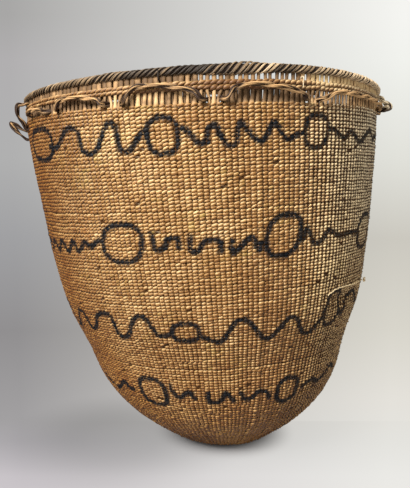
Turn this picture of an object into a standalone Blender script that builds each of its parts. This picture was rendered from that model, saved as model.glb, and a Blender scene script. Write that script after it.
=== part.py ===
"""Twined basket with an openwork collar, a braided border, a laced cord and cord ears.

The whole basket is drawn round and upright first, in polar terms: an angle in degrees from the
front, a radius and a height.  settle() then leans and tips every point as the real basket has
sagged, so each piece keeps its seat on the next.  Front is -Y, right is +X, up is +Z.
"""

import math

import bmesh
import bpy
from mathutils import Matrix, Vector

MM = 0.001

# Body: the close-twined wall, from the flat it stands on to the foot of the collar
WALL_RADIUS = 187.0 * MM
WALL_HEIGHT = 345.0 * MM
WALL_THICKNESS = 4.0 * MM
BASE_FLAT_RADIUS = 36.0 * MM
# Outer side of the wall as (share of its height, share of its radius), base to top
SIDE_CURVE = (
    (0.018, 0.296),
    (0.046, 0.375),
    (0.092, 0.488),
    (0.158, 0.609),
    (0.244, 0.706),
    (0.344, 0.766),
    (0.473, 0.858),
    (0.616, 0.914),
    (0.774, 0.955),
    (0.931, 0.990),
    (1.000, 1.000),
)
WALL_RINGS = 14
TURN_STEPS = 48

# Collar: the last weft row of the wall, the warp ends that stand up from it, and two weft rows
FOOT_ROW_HEIGHT = 3.0 * MM
STAKE_COUNT = 228
STAKE_WIDTH = 2.2 * MM
STAKE_DEPTH = 2.0 * MM
RIB_WIDTH = 3.0 * MM
LOWER_OPENWORK = 10.2 * MM
WEFT_ROW_HEIGHT = 3.1 * MM
WEFT_ROW_GAP = 0.4 * MM
WEFT_STRAND_DEPTH = 1.6 * MM
UPPER_OPENWORK = 5.1 * MM

# Border braid over the warp ends
BRAID_HEIGHT = 7.8 * MM
BRAID_DEPTH = 8.0 * MM
BRAID_SIDES = 8

# Lacing cord: it passes behind a rib, which is a pair of warp ends, and bows up between ribs.
# Places are counted in warp ends, to the right from the front rib.
CORD_DIAMETER = 3.8 * MM
FRONT_RISES = (3.5 * MM, 10.5 * MM, 12.0 * MM, 10.0 * MM, 6.5 * MM)
BACK_RISE = 9.5 * MM
FRONT_RIBS = (-30, -16, 0, 17)
FRONT_ENDS = (-40, 42)
BACK_ENDS = (49, 172)
BACK_RIB_COUNT = 7
# Height of a bow as (share of the way between two ribs, share of its rise)
SCALLOP_SHAPE = ((0.0, 0.05), (0.16, 0.88), (0.40, 1.0), (0.72, 0.66), (1.0, 0.0))
END_LEAD = 5.2 * MM
BEHIND_RIB = 0.9 * MM

# Ears: rings of cord that stand out from the basket, each through two openings one above the other.
# An eyelet has play on both sides of the cord for the ear to swing, and less above and below it.
EYELET_SIDE_PLAY = 1.6 * MM
EYELET_PLAY = 0.7 * MM
EYELET_SIDES = 12
EYELET_DEPTH = 4.5 * MM
EYELET_STEP = 7.5 * MM
# For each: place and kind of its upper and its lower opening, cord, reach, lift and spread of its bow.
# Lift is how far the tip is above the middle of the openings; spread is a share of their distance.
EARS = {
    "ear_left_upper": ((-43, "collar"), (-44, "eyelet"), 3.4 * MM, 13.4 * MM, 6.0 * MM, 0.55),
    "ear_left_lower": ((-50, "eyelet"), (-50, "second_eyelet"), 3.4 * MM, 19.6 * MM, 11.5 * MM, 0.75),
    "ear_right": ((45, "collar"), (45, "openwork"), 3.4 * MM, 16.0 * MM, -6.0 * MM, 0.90),
}
EAR_INNER_REACH = 7.0 * MM
EAR_INNER_BEND = 3.2 * MM
EAR_STUB = 3.4 * MM

# Loose strands
MEND_DIAMETER = 1.8 * MM
# Route of the mend over the wall as (degrees from the front, share of the wall's height)
MEND_ROUTE = ((39.0, 0.517), (43.0, 0.528), (48.0, 0.529), (54.0, 0.526), (61.0, 0.524), (68.0, 0.521))
MEND_KNOT_DIAMETER = 5.6 * MM
TIE_DIAMETER = 1.3 * MM
TIE_PLACES = {"tie_left": -8.5, "tie_right": 14.5}

# Seats
GAP = 0.3 * MM
TOUCH = 0.35 * MM

# How the basket has sagged: sideways lean, tip of its rim and of its waist, how much the wall's top
# rises at both sides and to the right; the collar alone sinks at both sides, twists and springs back
RIM_LEAN = -27.5 * MM
RIM_TIP = 0.020
WAIST_TIP = 0.045
TOP_SADDLE = 8.5 * MM
TOP_TIP = 1.5 * MM
COLLAR_DROP = 9.0 * MM
COLLAR_TWIST = 5.0 * MM
COLLAR_SHIFT = 3.0 * MM
FRONT_RIB_ANGLE = 3.2

COLLAR_FOOT = WALL_HEIGHT + GAP
FOOT_ROW_TOP = COLLAR_FOOT + FOOT_ROW_HEIGHT
LOWER_WEFT = FOOT_ROW_TOP + LOWER_OPENWORK
UPPER_WEFT = LOWER_WEFT + WEFT_ROW_HEIGHT + WEFT_ROW_GAP
WEFT_TOP = UPPER_WEFT + WEFT_ROW_HEIGHT
BRAID_BOTTOM = WEFT_TOP + UPPER_OPENWORK
RIM_HEIGHT = BRAID_BOTTOM + BRAID_HEIGHT
STAKE_RADIUS = WALL_RADIUS - WALL_THICKNESS / 2
STAKE_STEP = 360.0 / STAKE_COUNT
STAKE_PITCH = STAKE_RADIUS * math.radians(STAKE_STEP)
WEFT_OUTER_SEAT = STAKE_RADIUS + STAKE_DEPTH / 2 + GAP
WEFT_OUTER_RADIUS = WEFT_OUTER_SEAT + WEFT_STRAND_DEPTH
# Facets of a turned ring come this much inside its true radius, and a bow's chords inside the bow
FACET_SAG = WALL_RADIUS * (1 - math.cos(math.pi / TURN_STEPS))
CHORD_SAG = 0.15 * MM
CORD_OUTER = WEFT_OUTER_RADIUS + FACET_SAG + TOUCH + CHORD_SAG + CORD_DIAMETER / 2
CORD_INNER = STAKE_RADIUS - STAKE_DEPTH / 2 - TOUCH - CORD_DIAMETER / 2
PASS_HEIGHT = FOOT_ROW_TOP + CORD_DIAMETER / 2 + 3 * TOUCH
# From a rib's middle: where the cord crosses the warp ends, where it is fully outside, and how many
# places are left empty for it
RIB_CROSSING = RIB_WIDTH / 2 + CORD_DIAMETER + TOUCH
RIB_LEAD = 1.8 * RIB_CROSSING
PLACES_CLEARED = int((RIB_CROSSING + 0.85 * CORD_DIAMETER + STAKE_WIDTH / 2) / STAKE_PITCH)
UPPER_PASS = WEFT_TOP + UPPER_OPENWORK / 2


def settle(point):
    """Where a point of the round, upright basket has come to rest."""
    share = point.z / RIM_HEIGHT
    tip = RIM_TIP * share + WAIST_TIP * (4 * share * (1 - share)) ** 2
    side = point.x / WALL_RADIUS
    collar = max(0.0, (point.z - WALL_HEIGHT) / (RIM_HEIGHT - WALL_HEIGHT))
    rise = share**4 * (TOP_SADDLE * side**2 + TOP_TIP * side)
    rise += collar * (COLLAR_TWIST * (side - side**3) - COLLAR_DROP * side**2)
    lean = RIM_LEAN * share + COLLAR_SHIFT * collar
    return Vector((point.x + lean, point.y, point.z + tip * point.x + rise))


def polar(degrees, radius, height, along=0.0):
    """Point at an angle from the front, moved along the circumference."""
    turn = math.radians(degrees)
    outward = Vector((math.sin(turn), -math.cos(turn), 0))
    sideways = Vector((math.cos(turn), math.sin(turn), 0))
    return outward * radius + sideways * along + Vector((0, 0, height))


def stake_angle(place):
    return FRONT_RIB_ANGLE + STAKE_STEP * place


def back_ribs():
    start, end = BACK_ENDS
    step = (end - start) / (BACK_RIB_COUNT + 1)
    return [round(start + step * count) for count in range(1, BACK_RIB_COUNT + 1)]


def hermite(points, at):
    """Value at a place on the smooth curve through (place, value) points."""
    places = [p[0] for p in points]
    values = [p[1] for p in points]
    slopes = []
    for i in range(len(points)):
        low, high = max(i - 1, 0), min(i + 1, len(points) - 1)
        slopes.append((values[high] - values[low]) / (places[high] - places[low]))
    at = min(max(at, places[0]), places[-1])
    i = max(k for k in range(len(points) - 1) if places[k] <= at)
    width = places[i + 1] - places[i]
    t = (at - places[i]) / width
    return (
        values[i] * (2 * t**3 - 3 * t**2 + 1)
        + slopes[i] * width * (t**3 - 2 * t**2 + t)
        + values[i + 1] * (3 * t**2 - 2 * t**3)
        + slopes[i + 1] * width * (t**3 - t**2)
    )


def side_points():
    """Outer side of the wall, base to top, as evenly spaced (radius, height)."""
    curve = ((0.0, BASE_FLAT_RADIUS / WALL_RADIUS),) + SIDE_CURVE
    fine = [(WALL_RADIUS * hermite(curve, k / 200), WALL_HEIGHT * k / 200) for k in range(201)]
    lengths = [0.0]
    for a, b in zip(fine, fine[1:]):
        lengths.append(lengths[-1] + math.dist(a, b))
    chosen = []
    for ring in range(WALL_RINGS + 1):
        goal = lengths[-1] * ring / WALL_RINGS
        chosen.append(fine[min(range(len(fine)), key=lambda k: abs(lengths[k] - goal))])
    return chosen


def wall_surface(height):
    """Point on the wall's outer side at a height, and the direction square to the wall there."""
    rings = side_points()
    i = max(k for k in range(len(rings) - 1) if rings[k][1] <= height)
    (low_radius, low), (high_radius, high) = rings[i], rings[i + 1]
    radius = low_radius + (high_radius - low_radius) * (height - low) / (high - low)
    return Vector((radius, height)), Vector((high - low, low_radius - high_radius)).normalized()


def clear_scene():
    for obj in list(bpy.data.objects):
        bpy.data.objects.remove(obj, do_unlink=True)
    for name in ("woven_basket", "build_helpers"):
        made = bpy.data.collections.new(name)
        bpy.context.scene.collection.children.link(made)


def material(name, colour, roughness):
    made = bpy.data.materials.new(name)
    made.use_nodes = True
    shader = made.node_tree.nodes["Principled BSDF"]
    shader.inputs["Base Color"].default_value = (*colour, 1.0)
    shader.inputs["Roughness"].default_value = roughness
    shader.inputs["Metallic"].default_value = 0.0
    return made


def place(name, data, finish, collection="woven_basket"):
    obj = bpy.data.objects.new(name, data)
    obj.data.materials.append(finish)
    bpy.data.collections[collection].objects.link(obj)
    return obj


def baked(obj):
    """Mesh of an object with its modifiers applied; the object is removed."""
    bpy.context.view_layer.update()
    graph = bpy.context.evaluated_depsgraph_get()
    mesh = bpy.data.meshes.new_from_object(obj.evaluated_get(graph))
    bpy.data.objects.remove(obj, do_unlink=True)
    return mesh


def settled(mesh):
    for vertex in mesh.vertices:
        vertex.co = settle(vertex.co)
    mesh.shade_smooth()
    mesh.set_sharp_from_angle(angle=math.radians(40))
    return mesh


def turned(section, finish, closed):
    """Mesh turned about Z from a section of (radius, height) that runs down its outer side."""
    made = bmesh.new()
    corners = [made.verts.new((radius, 0, height)) for radius, height in section]
    for a, b in zip(corners, corners[1:]):
        made.edges.new((a, b))
    if closed:
        made.edges.new((corners[-1], corners[0]))
    mesh = bpy.data.meshes.new("section")
    made.to_mesh(mesh)
    made.free()
    obj = place("section", mesh, finish, "build_helpers")
    screw = obj.modifiers.new("turn", "SCREW")
    screw.axis = "Z"
    screw.steps = screw.render_steps = TURN_STEPS
    screw.use_merge_vertices = True
    screw.merge_threshold = 0.00005
    return baked(obj)


def combined(obj, helper_form, operation, finish):
    """Mesh of an object after a Boolean with a helper form; both are used up."""
    mesh = bpy.data.meshes.new("helper")
    helper_form.to_mesh(mesh)
    helper_form.free()
    helper = place("helper", mesh, finish, "build_helpers")
    step = obj.modifiers.new("combine", "BOOLEAN")
    step.operation = operation
    step.solver = "EXACT"
    step.object = helper
    mesh = baked(obj)
    bpy.data.objects.remove(helper, do_unlink=True)
    return mesh


def ring_section(inner, outer, bottom, top):
    return [(outer, top), (outer, bottom), (inner, bottom), (inner, top)]


def make_wall(finish):
    outer = side_points()
    inner = []
    for i, (radius, height) in enumerate(outer):
        before, after = outer[max(i - 1, 0)], outer[min(i + 1, len(outer) - 1)]
        along = Vector((after[0] - before[0], after[1] - before[1])).normalized()
        inner.append((radius - along.y * WALL_THICKNESS, height + along.x * WALL_THICKNESS))
    inner[0] = (BASE_FLAT_RADIUS, WALL_THICKNESS)
    inner[-1] = (WALL_RADIUS - WALL_THICKNESS, WALL_HEIGHT)
    section = [(0.0, WALL_THICKNESS)] + inner + outer[::-1] + [(0.0, 0.0)]
    wall = place("body_wall", turned(section, finish, closed=False), finish)
    eyelets = bmesh.new()
    facets = math.cos(math.pi / EYELET_SIDES)
    for number, height, cord in (spot for ear in EARS for spot in ear_openings(ear)):
        if height < WALL_HEIGHT:
            across, up = (cord / 2 + play for play in (EYELET_SIDE_PLAY, EYELET_PLAY))
            spot = Matrix.Translation(polar(stake_angle(number), STAKE_RADIUS, height))
            turn = Matrix.Rotation(math.radians(stake_angle(number)), 4, "Z")
            size = Matrix.Diagonal((across / facets, 1, up / facets, 1)) @ Matrix.Rotation(math.pi / 2, 4, "X")
            bmesh.ops.create_cone(
                eyelets,
                cap_ends=True,
                segments=EYELET_SIDES,
                radius1=1,
                radius2=1,
                depth=4 * WALL_THICKNESS,
                matrix=spot @ turn @ size,
            )
    return place("body_wall", settled(combined(wall, eyelets, "DIFFERENCE", finish)), finish)


def stake_widths():
    """Width of the warp end at each place; the cords' passages leave some places empty."""
    widths = {number: STAKE_WIDTH for number in range(STAKE_COUNT)}
    for rib in list(FRONT_RIBS) + back_ribs():
        for place_near in range(rib - PLACES_CLEARED, rib + PLACES_CLEARED + 1):
            widths.pop(place_near % STAKE_COUNT, None)
        widths[rib % STAKE_COUNT] = RIB_WIDTH
    passes = [number for ear in EARS for number, height, cord in ear_openings(ear) if height > WALL_HEIGHT]
    for opening in passes + list(FRONT_ENDS) + list(BACK_ENDS):
        widths.pop(opening % STAKE_COUNT, None)
    return widths


def make_stakes(finish):
    """Foot row with every warp end standing in it, as one comb."""
    foot = ring_section(WALL_RADIUS - WALL_THICKNESS, WALL_RADIUS, COLLAR_FOOT, FOOT_ROW_TOP)
    row = place("warp_stakes", turned(foot, finish, closed=True), finish)
    bottom = COLLAR_FOOT + FOOT_ROW_HEIGHT / 2
    top = BRAID_BOTTOM - GAP
    ends = bmesh.new()
    for number, width in stake_widths().items():
        spot = Matrix.Translation(polar(stake_angle(number), STAKE_RADIUS, (bottom + top) / 2))
        turn = Matrix.Rotation(math.radians(stake_angle(number)), 4, "Z")
        size = Matrix.Diagonal((width, STAKE_DEPTH, top - bottom, 1))
        bmesh.ops.create_cube(ends, size=1.0, matrix=spot @ turn @ size)
    return place("warp_stakes", settled(combined(row, ends, "UNION", finish)), finish)


def make_weft_rows(finish):
    """Two strands to a row: one outside the warp ends and one inside them."""
    inside_seat = STAKE_RADIUS - STAKE_DEPTH / 2 - GAP
    for row, bottom in (("lower", LOWER_WEFT), ("upper", UPPER_WEFT)):
        top = bottom + WEFT_ROW_HEIGHT
        outer = ring_section(WEFT_OUTER_SEAT + FACET_SAG, WEFT_OUTER_RADIUS + FACET_SAG, bottom, top)
        inner = ring_section(inside_seat - WEFT_STRAND_DEPTH, inside_seat, bottom, top)
        for side, section in (("outer", outer), ("inner", inner)):
            mesh = settled(turned(section, finish, closed=True))
            place(f"collar_weft_{row}_{side}", mesh, finish)


def make_braid(finish):
    centre = BRAID_BOTTOM + BRAID_HEIGHT / 2
    section = []
    for side in range(BRAID_SIDES):
        turn = math.pi / 2 - 2 * math.pi * (side + 0.5) / BRAID_SIDES
        radius = STAKE_RADIUS + BRAID_DEPTH / 2 * math.cos(turn)
        flat = math.cos(math.pi / BRAID_SIDES)
        section.append((radius, centre + BRAID_HEIGHT / 2 * math.sin(turn) / flat))
    return place("rim_braid", settled(turned(section, finish, closed=True)), finish)


def smooth_route(points, per_span, closed):
    """Points read from a smooth curve through the route's own points."""
    count = len(points)
    spans = count if closed else count - 1
    route = []
    for i in range(spans):
        if closed:
            a, b, c, d = (points[(i + k) % count] for k in (-1, 0, 1, 2))
        else:
            a, b = points[max(i - 1, 0)], points[i]
            c, d = points[i + 1], points[min(i + 2, count - 1)]
        for step in range(per_span):
            t = step / per_span
            route.append(
                0.5 * ((2 * b) + (c - a) * t + (2 * a - 5 * b + 4 * c - d) * t**2 + (3 * b - a - 3 * c + d) * t**3)
            )
    return route if closed else route + [points[-1]]


def tube(name, route, diameter, finish, closed=False, resolution=2, origin=None):
    """Round tube along a route; its origin is where its joint's axis passes."""
    origin = origin or Vector((0, 0, 0))
    curve = bpy.data.curves.new(name, "CURVE")
    curve.dimensions = "3D"
    curve.bevel_depth = diameter / 2
    curve.bevel_resolution = resolution
    curve.use_fill_caps = not closed
    spline = curve.splines.new("POLY")
    spline.points.add(len(route) - 1)
    for knot, point in zip(spline.points, route):
        knot.co = (*(point - origin), 1.0)
    spline.use_cyclic_u = closed
    obj = place(name, curve, finish)
    obj.location = origin
    return obj


def passage(number):
    """The cord's own points as it goes in beside a rib, round behind it and out again."""
    points = ((-RIB_CROSSING, STAKE_RADIUS), (0.0, CORD_INNER - BEHIND_RIB), (RIB_CROSSING, STAKE_RADIUS))
    return [polar(stake_angle(number), outward, PASS_HEIGHT, along) for along, outward in points]


def scallop(first, second, lead_first, lead_second, top):
    """The cord's own points on its bow outside the collar, between two passages."""
    start = stake_angle(first) + math.degrees(lead_first / STAKE_RADIUS)
    end = stake_angle(second) - math.degrees(lead_second / STAKE_RADIUS)
    bow = []
    for share, rise in SCALLOP_SHAPE:
        bow.append(polar(start + (end - start) * share, CORD_OUTER, PASS_HEIGHT + rise * top))
    return bow


def lacing(name, ends, ribs, rises, finish):
    """One length of cord: in from an end, round each rib in turn, and in again at the other end."""
    stops = [ends[0]] + list(ribs) + [ends[1]]
    route = [polar(stake_angle(ends[0]), radius, PASS_HEIGHT) for radius in (CORD_INNER, STAKE_RADIUS)]
    for here, there, top in zip(stops, stops[1:], rises):
        lead_first = END_LEAD if here == ends[0] else RIB_LEAD
        lead_second = END_LEAD if there == ends[1] else RIB_LEAD
        route += scallop(here, there, lead_first, lead_second, top)
        if there != ends[1]:
            route += passage(there)
    route += [polar(stake_angle(ends[1]), radius, PASS_HEIGHT) for radius in (STAKE_RADIUS, CORD_INNER)]
    route = [settle(p) for p in smooth_route(route, 2, closed=False)]
    return tube(name, route, CORD_DIAMETER, finish)


def ear_openings(name):
    """Place, height and cord of an ear's two openings, the upper one first."""
    heights = {
        "collar": UPPER_PASS,
        "openwork": PASS_HEIGHT,
        "eyelet": WALL_HEIGHT - EYELET_DEPTH,
        "second_eyelet": WALL_HEIGHT - EYELET_DEPTH - EYELET_STEP,
    }
    return [(number, heights[kind], EARS[name][2]) for number, kind in EARS[name][:2]]


def make_ear(name, finish):
    """Ring of cord through two openings; it swings about the line through them."""
    cord, reach, lift, spread = EARS[name][2:]
    upper, lower = (polar(stake_angle(n), STAKE_RADIUS, height) for n, height, _ in ear_openings(name))
    middle = (upper + lower) / 2
    half = (upper - lower).length / 2
    rise = (upper - lower).normalized()
    outward = Vector((middle.x, middle.y, 0)).normalized()
    bow = spread * half
    outline = (
        (-0.62 * EAR_INNER_REACH, half),
        (0.0, half),
        (EAR_STUB, half),
        (0.50 * reach, 0.45 * lift + 0.25 * half + 0.78 * bow),
        (0.82 * reach, 0.90 * lift + 0.80 * bow),
        (reach - cord / 2, lift),
        (0.80 * reach, 0.70 * lift - 0.86 * bow),
        (0.46 * reach, 0.25 * lift - 0.35 * half - 0.65 * bow),
        (EAR_STUB, -half),
        (0.0, -half),
        (-0.62 * EAR_INNER_REACH, -half),
        (-EAR_INNER_REACH, -half + EAR_INNER_BEND),
        (-EAR_INNER_REACH, half - EAR_INNER_BEND),
    )
    route = [middle + outward * across + rise * up for across, up in outline]
    route = [settle(p) for p in smooth_route(route, 2, closed=True)]
    return tube(name, route, cord, finish, closed=True, origin=(settle(upper) + settle(lower)) / 2)


def on_wall(angle, share, clearance):
    """Point at a clearance from the wall's outer side, at an angle and a share of its height."""
    spot, outward = wall_surface(share * WALL_HEIGHT)
    return polar(angle, *(spot + outward * clearance))


def make_mend(finish):
    """Strand drawn across the outside of the wall, and the knot at its end."""
    route = [on_wall(angle, share, TOUCH + MEND_DIAMETER / 2) for angle, share in MEND_ROUTE]
    tube("mend_strand", [settle(p) for p in smooth_route(route, 2, closed=False)], MEND_DIAMETER, finish)
    size = MEND_KNOT_DIAMETER / 2
    angle, share = MEND_ROUTE[-1]
    past = math.degrees((GAP + size) / route[-1].xy.length)
    knot = bmesh.new()
    spot = Matrix.Translation(on_wall(angle + past, share, TOUCH + size))
    bmesh.ops.create_icosphere(knot, subdivisions=3, radius=size, matrix=spot)
    mesh = bpy.data.meshes.new("mend_knot")
    knot.to_mesh(mesh)
    knot.free()
    place("mend_knot", settled(mesh), finish)


def make_tie(name, finish):
    """Loose end out through the upper openwork: one lies up the braid, one down the weft rows."""
    angle = stake_angle(TIE_PLACES[name])
    room = GAP + TIE_DIAMETER / 2
    if name == "tie_left":
        turns = (
            (STAKE_RADIUS, UPPER_PASS),
            (STAKE_RADIUS + 0.5 * BRAID_DEPTH, UPPER_PASS),
            (STAKE_RADIUS + 0.5 * BRAID_DEPTH + room, BRAID_BOTTOM + 0.36 * BRAID_HEIGHT),
            (STAKE_RADIUS + 0.5 * BRAID_DEPTH + room, BRAID_BOTTOM + 0.62 * BRAID_HEIGHT),
        )
    else:
        outside = WEFT_OUTER_RADIUS + FACET_SAG + room
        turns = (
            (STAKE_RADIUS, UPPER_PASS),
            (outside - 0.2 * room, UPPER_PASS),
            (outside, WEFT_TOP - WEFT_ROW_HEIGHT),
            (outside, LOWER_WEFT),
        )
    route = [settle(polar(angle, radius, height)) for radius, height in turns]
    return tube(name, smooth_route(route, 3, closed=False), TIE_DIAMETER, finish)


def main():
    clear_scene()
    straw = material("twined_straw", (0.50, 0.30, 0.12), 0.75)
    stakes = material("split_warp", (0.42, 0.27, 0.12), 0.75)
    border = material("braided_border", (0.16, 0.10, 0.06), 0.7)
    cord = material("twisted_root_cord", (0.24, 0.15, 0.08), 0.6)
    thread = material("loose_thread", (0.55, 0.42, 0.26), 0.8)
    make_wall(straw)
    make_stakes(stakes)
    make_weft_rows(straw)
    make_braid(border)
    lacing("lacing_cord_front", FRONT_ENDS, FRONT_RIBS, FRONT_RISES, cord)
    lacing("lacing_cord_back", BACK_ENDS, back_ribs(), [BACK_RISE] * (BACK_RIB_COUNT + 1), cord)
    for name in EARS:
        make_ear(name, cord)
    make_mend(thread)
    for name in TIE_PLACES:
        make_tie(name, thread)


main()
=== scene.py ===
"""Looks of the twined basket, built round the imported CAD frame.

The weave is laid stitch by stitch: a distance down the wall, an angle from the front and a lift off
the wall's face give each point, and settled() then leans and tips it as the real basket has sagged.
Front is -Y, right is +X, up is +Z.  Lengths are in metres, angles in degrees.
"""

import math

import bmesh
import bpy
import numpy as np
from bpy.props import FloatProperty, FloatVectorProperty, PointerProperty
from bpy.types import Operator, Panel, PropertyGroup
from mathutils import Matrix, Vector
from mathutils.kdtree import KDTree


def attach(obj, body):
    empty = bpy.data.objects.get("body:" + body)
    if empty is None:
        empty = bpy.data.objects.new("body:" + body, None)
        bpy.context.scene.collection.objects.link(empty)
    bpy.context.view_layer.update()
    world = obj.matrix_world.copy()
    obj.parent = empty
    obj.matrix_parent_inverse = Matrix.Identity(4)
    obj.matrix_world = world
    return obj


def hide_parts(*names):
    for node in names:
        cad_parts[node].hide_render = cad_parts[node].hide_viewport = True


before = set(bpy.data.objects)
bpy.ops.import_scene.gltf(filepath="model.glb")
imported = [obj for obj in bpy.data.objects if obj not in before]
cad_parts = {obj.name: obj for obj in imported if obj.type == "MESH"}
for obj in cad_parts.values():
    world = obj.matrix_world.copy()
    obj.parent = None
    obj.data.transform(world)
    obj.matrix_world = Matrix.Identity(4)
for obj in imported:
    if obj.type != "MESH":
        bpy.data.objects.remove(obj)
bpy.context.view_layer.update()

bl_info = {
    "name": "Twined Basket",
    "version": (1, 0, 0),
    "blender": (4, 5, 0),
    "location": "3D View > Sidebar > Basket",
    "description": "Builds a close-twined basket with an openwork collar, a braided border and a laced cord",
    "category": "Add Mesh",
}

MM = 0.001
# Difference between the noise of one strand and that of the next
SEED_STEP = 0.37
# First row of the foot, whose stitches are drawn more simply
FOOT_ROW = 110

# Sizes of the CAD basket that the weave is laid on
WALL_RADIUS = 187.0 * MM
WALL_HEIGHT = 345.0 * MM
BASE_FLAT_RADIUS = 36.0 * MM
# Share of the wall's height and share of its radius there
SIDE_CURVE = (
    (0.018, 0.296), (0.046, 0.375), (0.092, 0.488), (0.158, 0.609), (0.244, 0.706), (0.344, 0.766),
    (0.473, 0.858), (0.616, 0.914), (0.774, 0.955), (0.931, 0.990), (1.000, 1.000),
)
STAKE_RADIUS = 185.0 * MM
STAKE_COUNT = 228
STAKE_STEP = 360.0 / STAKE_COUNT
FRONT_RIB_ANGLE = 3.2
FOOT_ROW_TOP = 348.3 * MM
PASS_HEIGHT = 351.25 * MM
LOWER_WEFT = 360.05 * MM
UPPER_WEFT = 363.55 * MM
WEFT_TOP = 365.1 * MM
UPPER_PASS = 367.65 * MM
BRAID_BOTTOM = 370.2 * MM
BRAID_HEIGHT = 7.8 * MM
BRAID_DEPTH = 8.0 * MM
BRAID_MIDDLE = BRAID_BOTTOM + BRAID_HEIGHT / 2
RIM_HEIGHT = 378.0 * MM
RIM_LEAN = -27.5 * MM
RIM_TIP = 0.020
WAIST_TIP = 0.045
TOP_SADDLE = 8.5 * MM
TOP_TIP = 1.5 * MM
COLLAR_DROP = 9.0 * MM
COLLAR_TWIST = 5.0 * MM
COLLAR_SHIFT = 3.0 * MM

# Route of the laced cord and of the ears, as in the CAD source
CORD_OUTER = 190.7 * MM
CORD_INNER = 181.75 * MM
BEHIND_RIB = 0.9 * MM
RIB_CROSSING = 5.65 * MM
RIB_LEAD = 10.17 * MM
END_LEAD = 5.2 * MM
FRONT_RISES = (3.5 * MM, 8.5 * MM, 12.0 * MM, 10.0 * MM, 6.5 * MM)
BACK_RISES = (9.5 * MM,) * 8
SCALLOP_SHAPE = ((0.0, 0.02), (0.09, 0.72), (0.28, 1.0), (0.66, 0.80), (0.92, 0.42), (1.0, 0.0))
FRONT_RIBS = (-30, -16, 0, 17)
FRONT_ENDS = (-40, 42)
BACK_RIBS = (64, 80, 95, 110, 126, 141, 157)
BACK_ENDS = (49, 172)
EAR_INNER_REACH = 7.0 * MM
EAR_INNER_BEND = 3.2 * MM
EAR_STUB = 3.4 * MM
EYELET_HEIGHTS = (340.5 * MM, 333.0 * MM)
# Place and height of an ear's two openings, its cord, reach, lift and spread
EARS = {
    "ear_left_upper": ((-43, UPPER_PASS), (-44, EYELET_HEIGHTS[0]), 3.4 * MM, 13.4 * MM, 6.0 * MM, 0.55),
    "ear_left_lower": (
        (-50, EYELET_HEIGHTS[0]), (-50, EYELET_HEIGHTS[1]), 3.4 * MM, 19.6 * MM, 11.5 * MM, 0.75
    ),
    "ear_right": ((45, UPPER_PASS), (45, PASS_HEIGHT), 3.4 * MM, 16.0 * MM, -6.0 * MM, 0.90),
}
MEND_ROUTE = ((39.0, 0.517), (43.0, 0.528), (48.0, 0.529), (54.0, 0.526), (61.0, 0.524), (68.0, 0.521))
MEND_DIAMETER = 1.8 * MM
MEND_KNOT_DIAMETER = 5.6 * MM
# Fold in the wall under the mend: angle and height in millimetres
DENT_LINE = ((38, 186.0), (44, 172.0), (50, 168.0), (58, 169.0), (66, 174.0), (72, 178.0))
TIE_PLACES = {"tie_left": -8.5, "tie_right": 14.5}
# Height in millimetres and breadth of a warp end: widest at its foot, where the warps close up, and
# narrowest in the upper openwork
WARP_END_SHAPE = (
    (345.3, 1.50), (348.6, 1.30), (350.5, 1.14), (352.6, 1.04), (354.8, 1.00), (357.5, 1.02),
    (360.0, 1.15), (363.5, 1.08), (365.6, 1.02), (367.6, 1.0), (370.0, 1.10), (372.2, 1.22),
)

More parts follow.
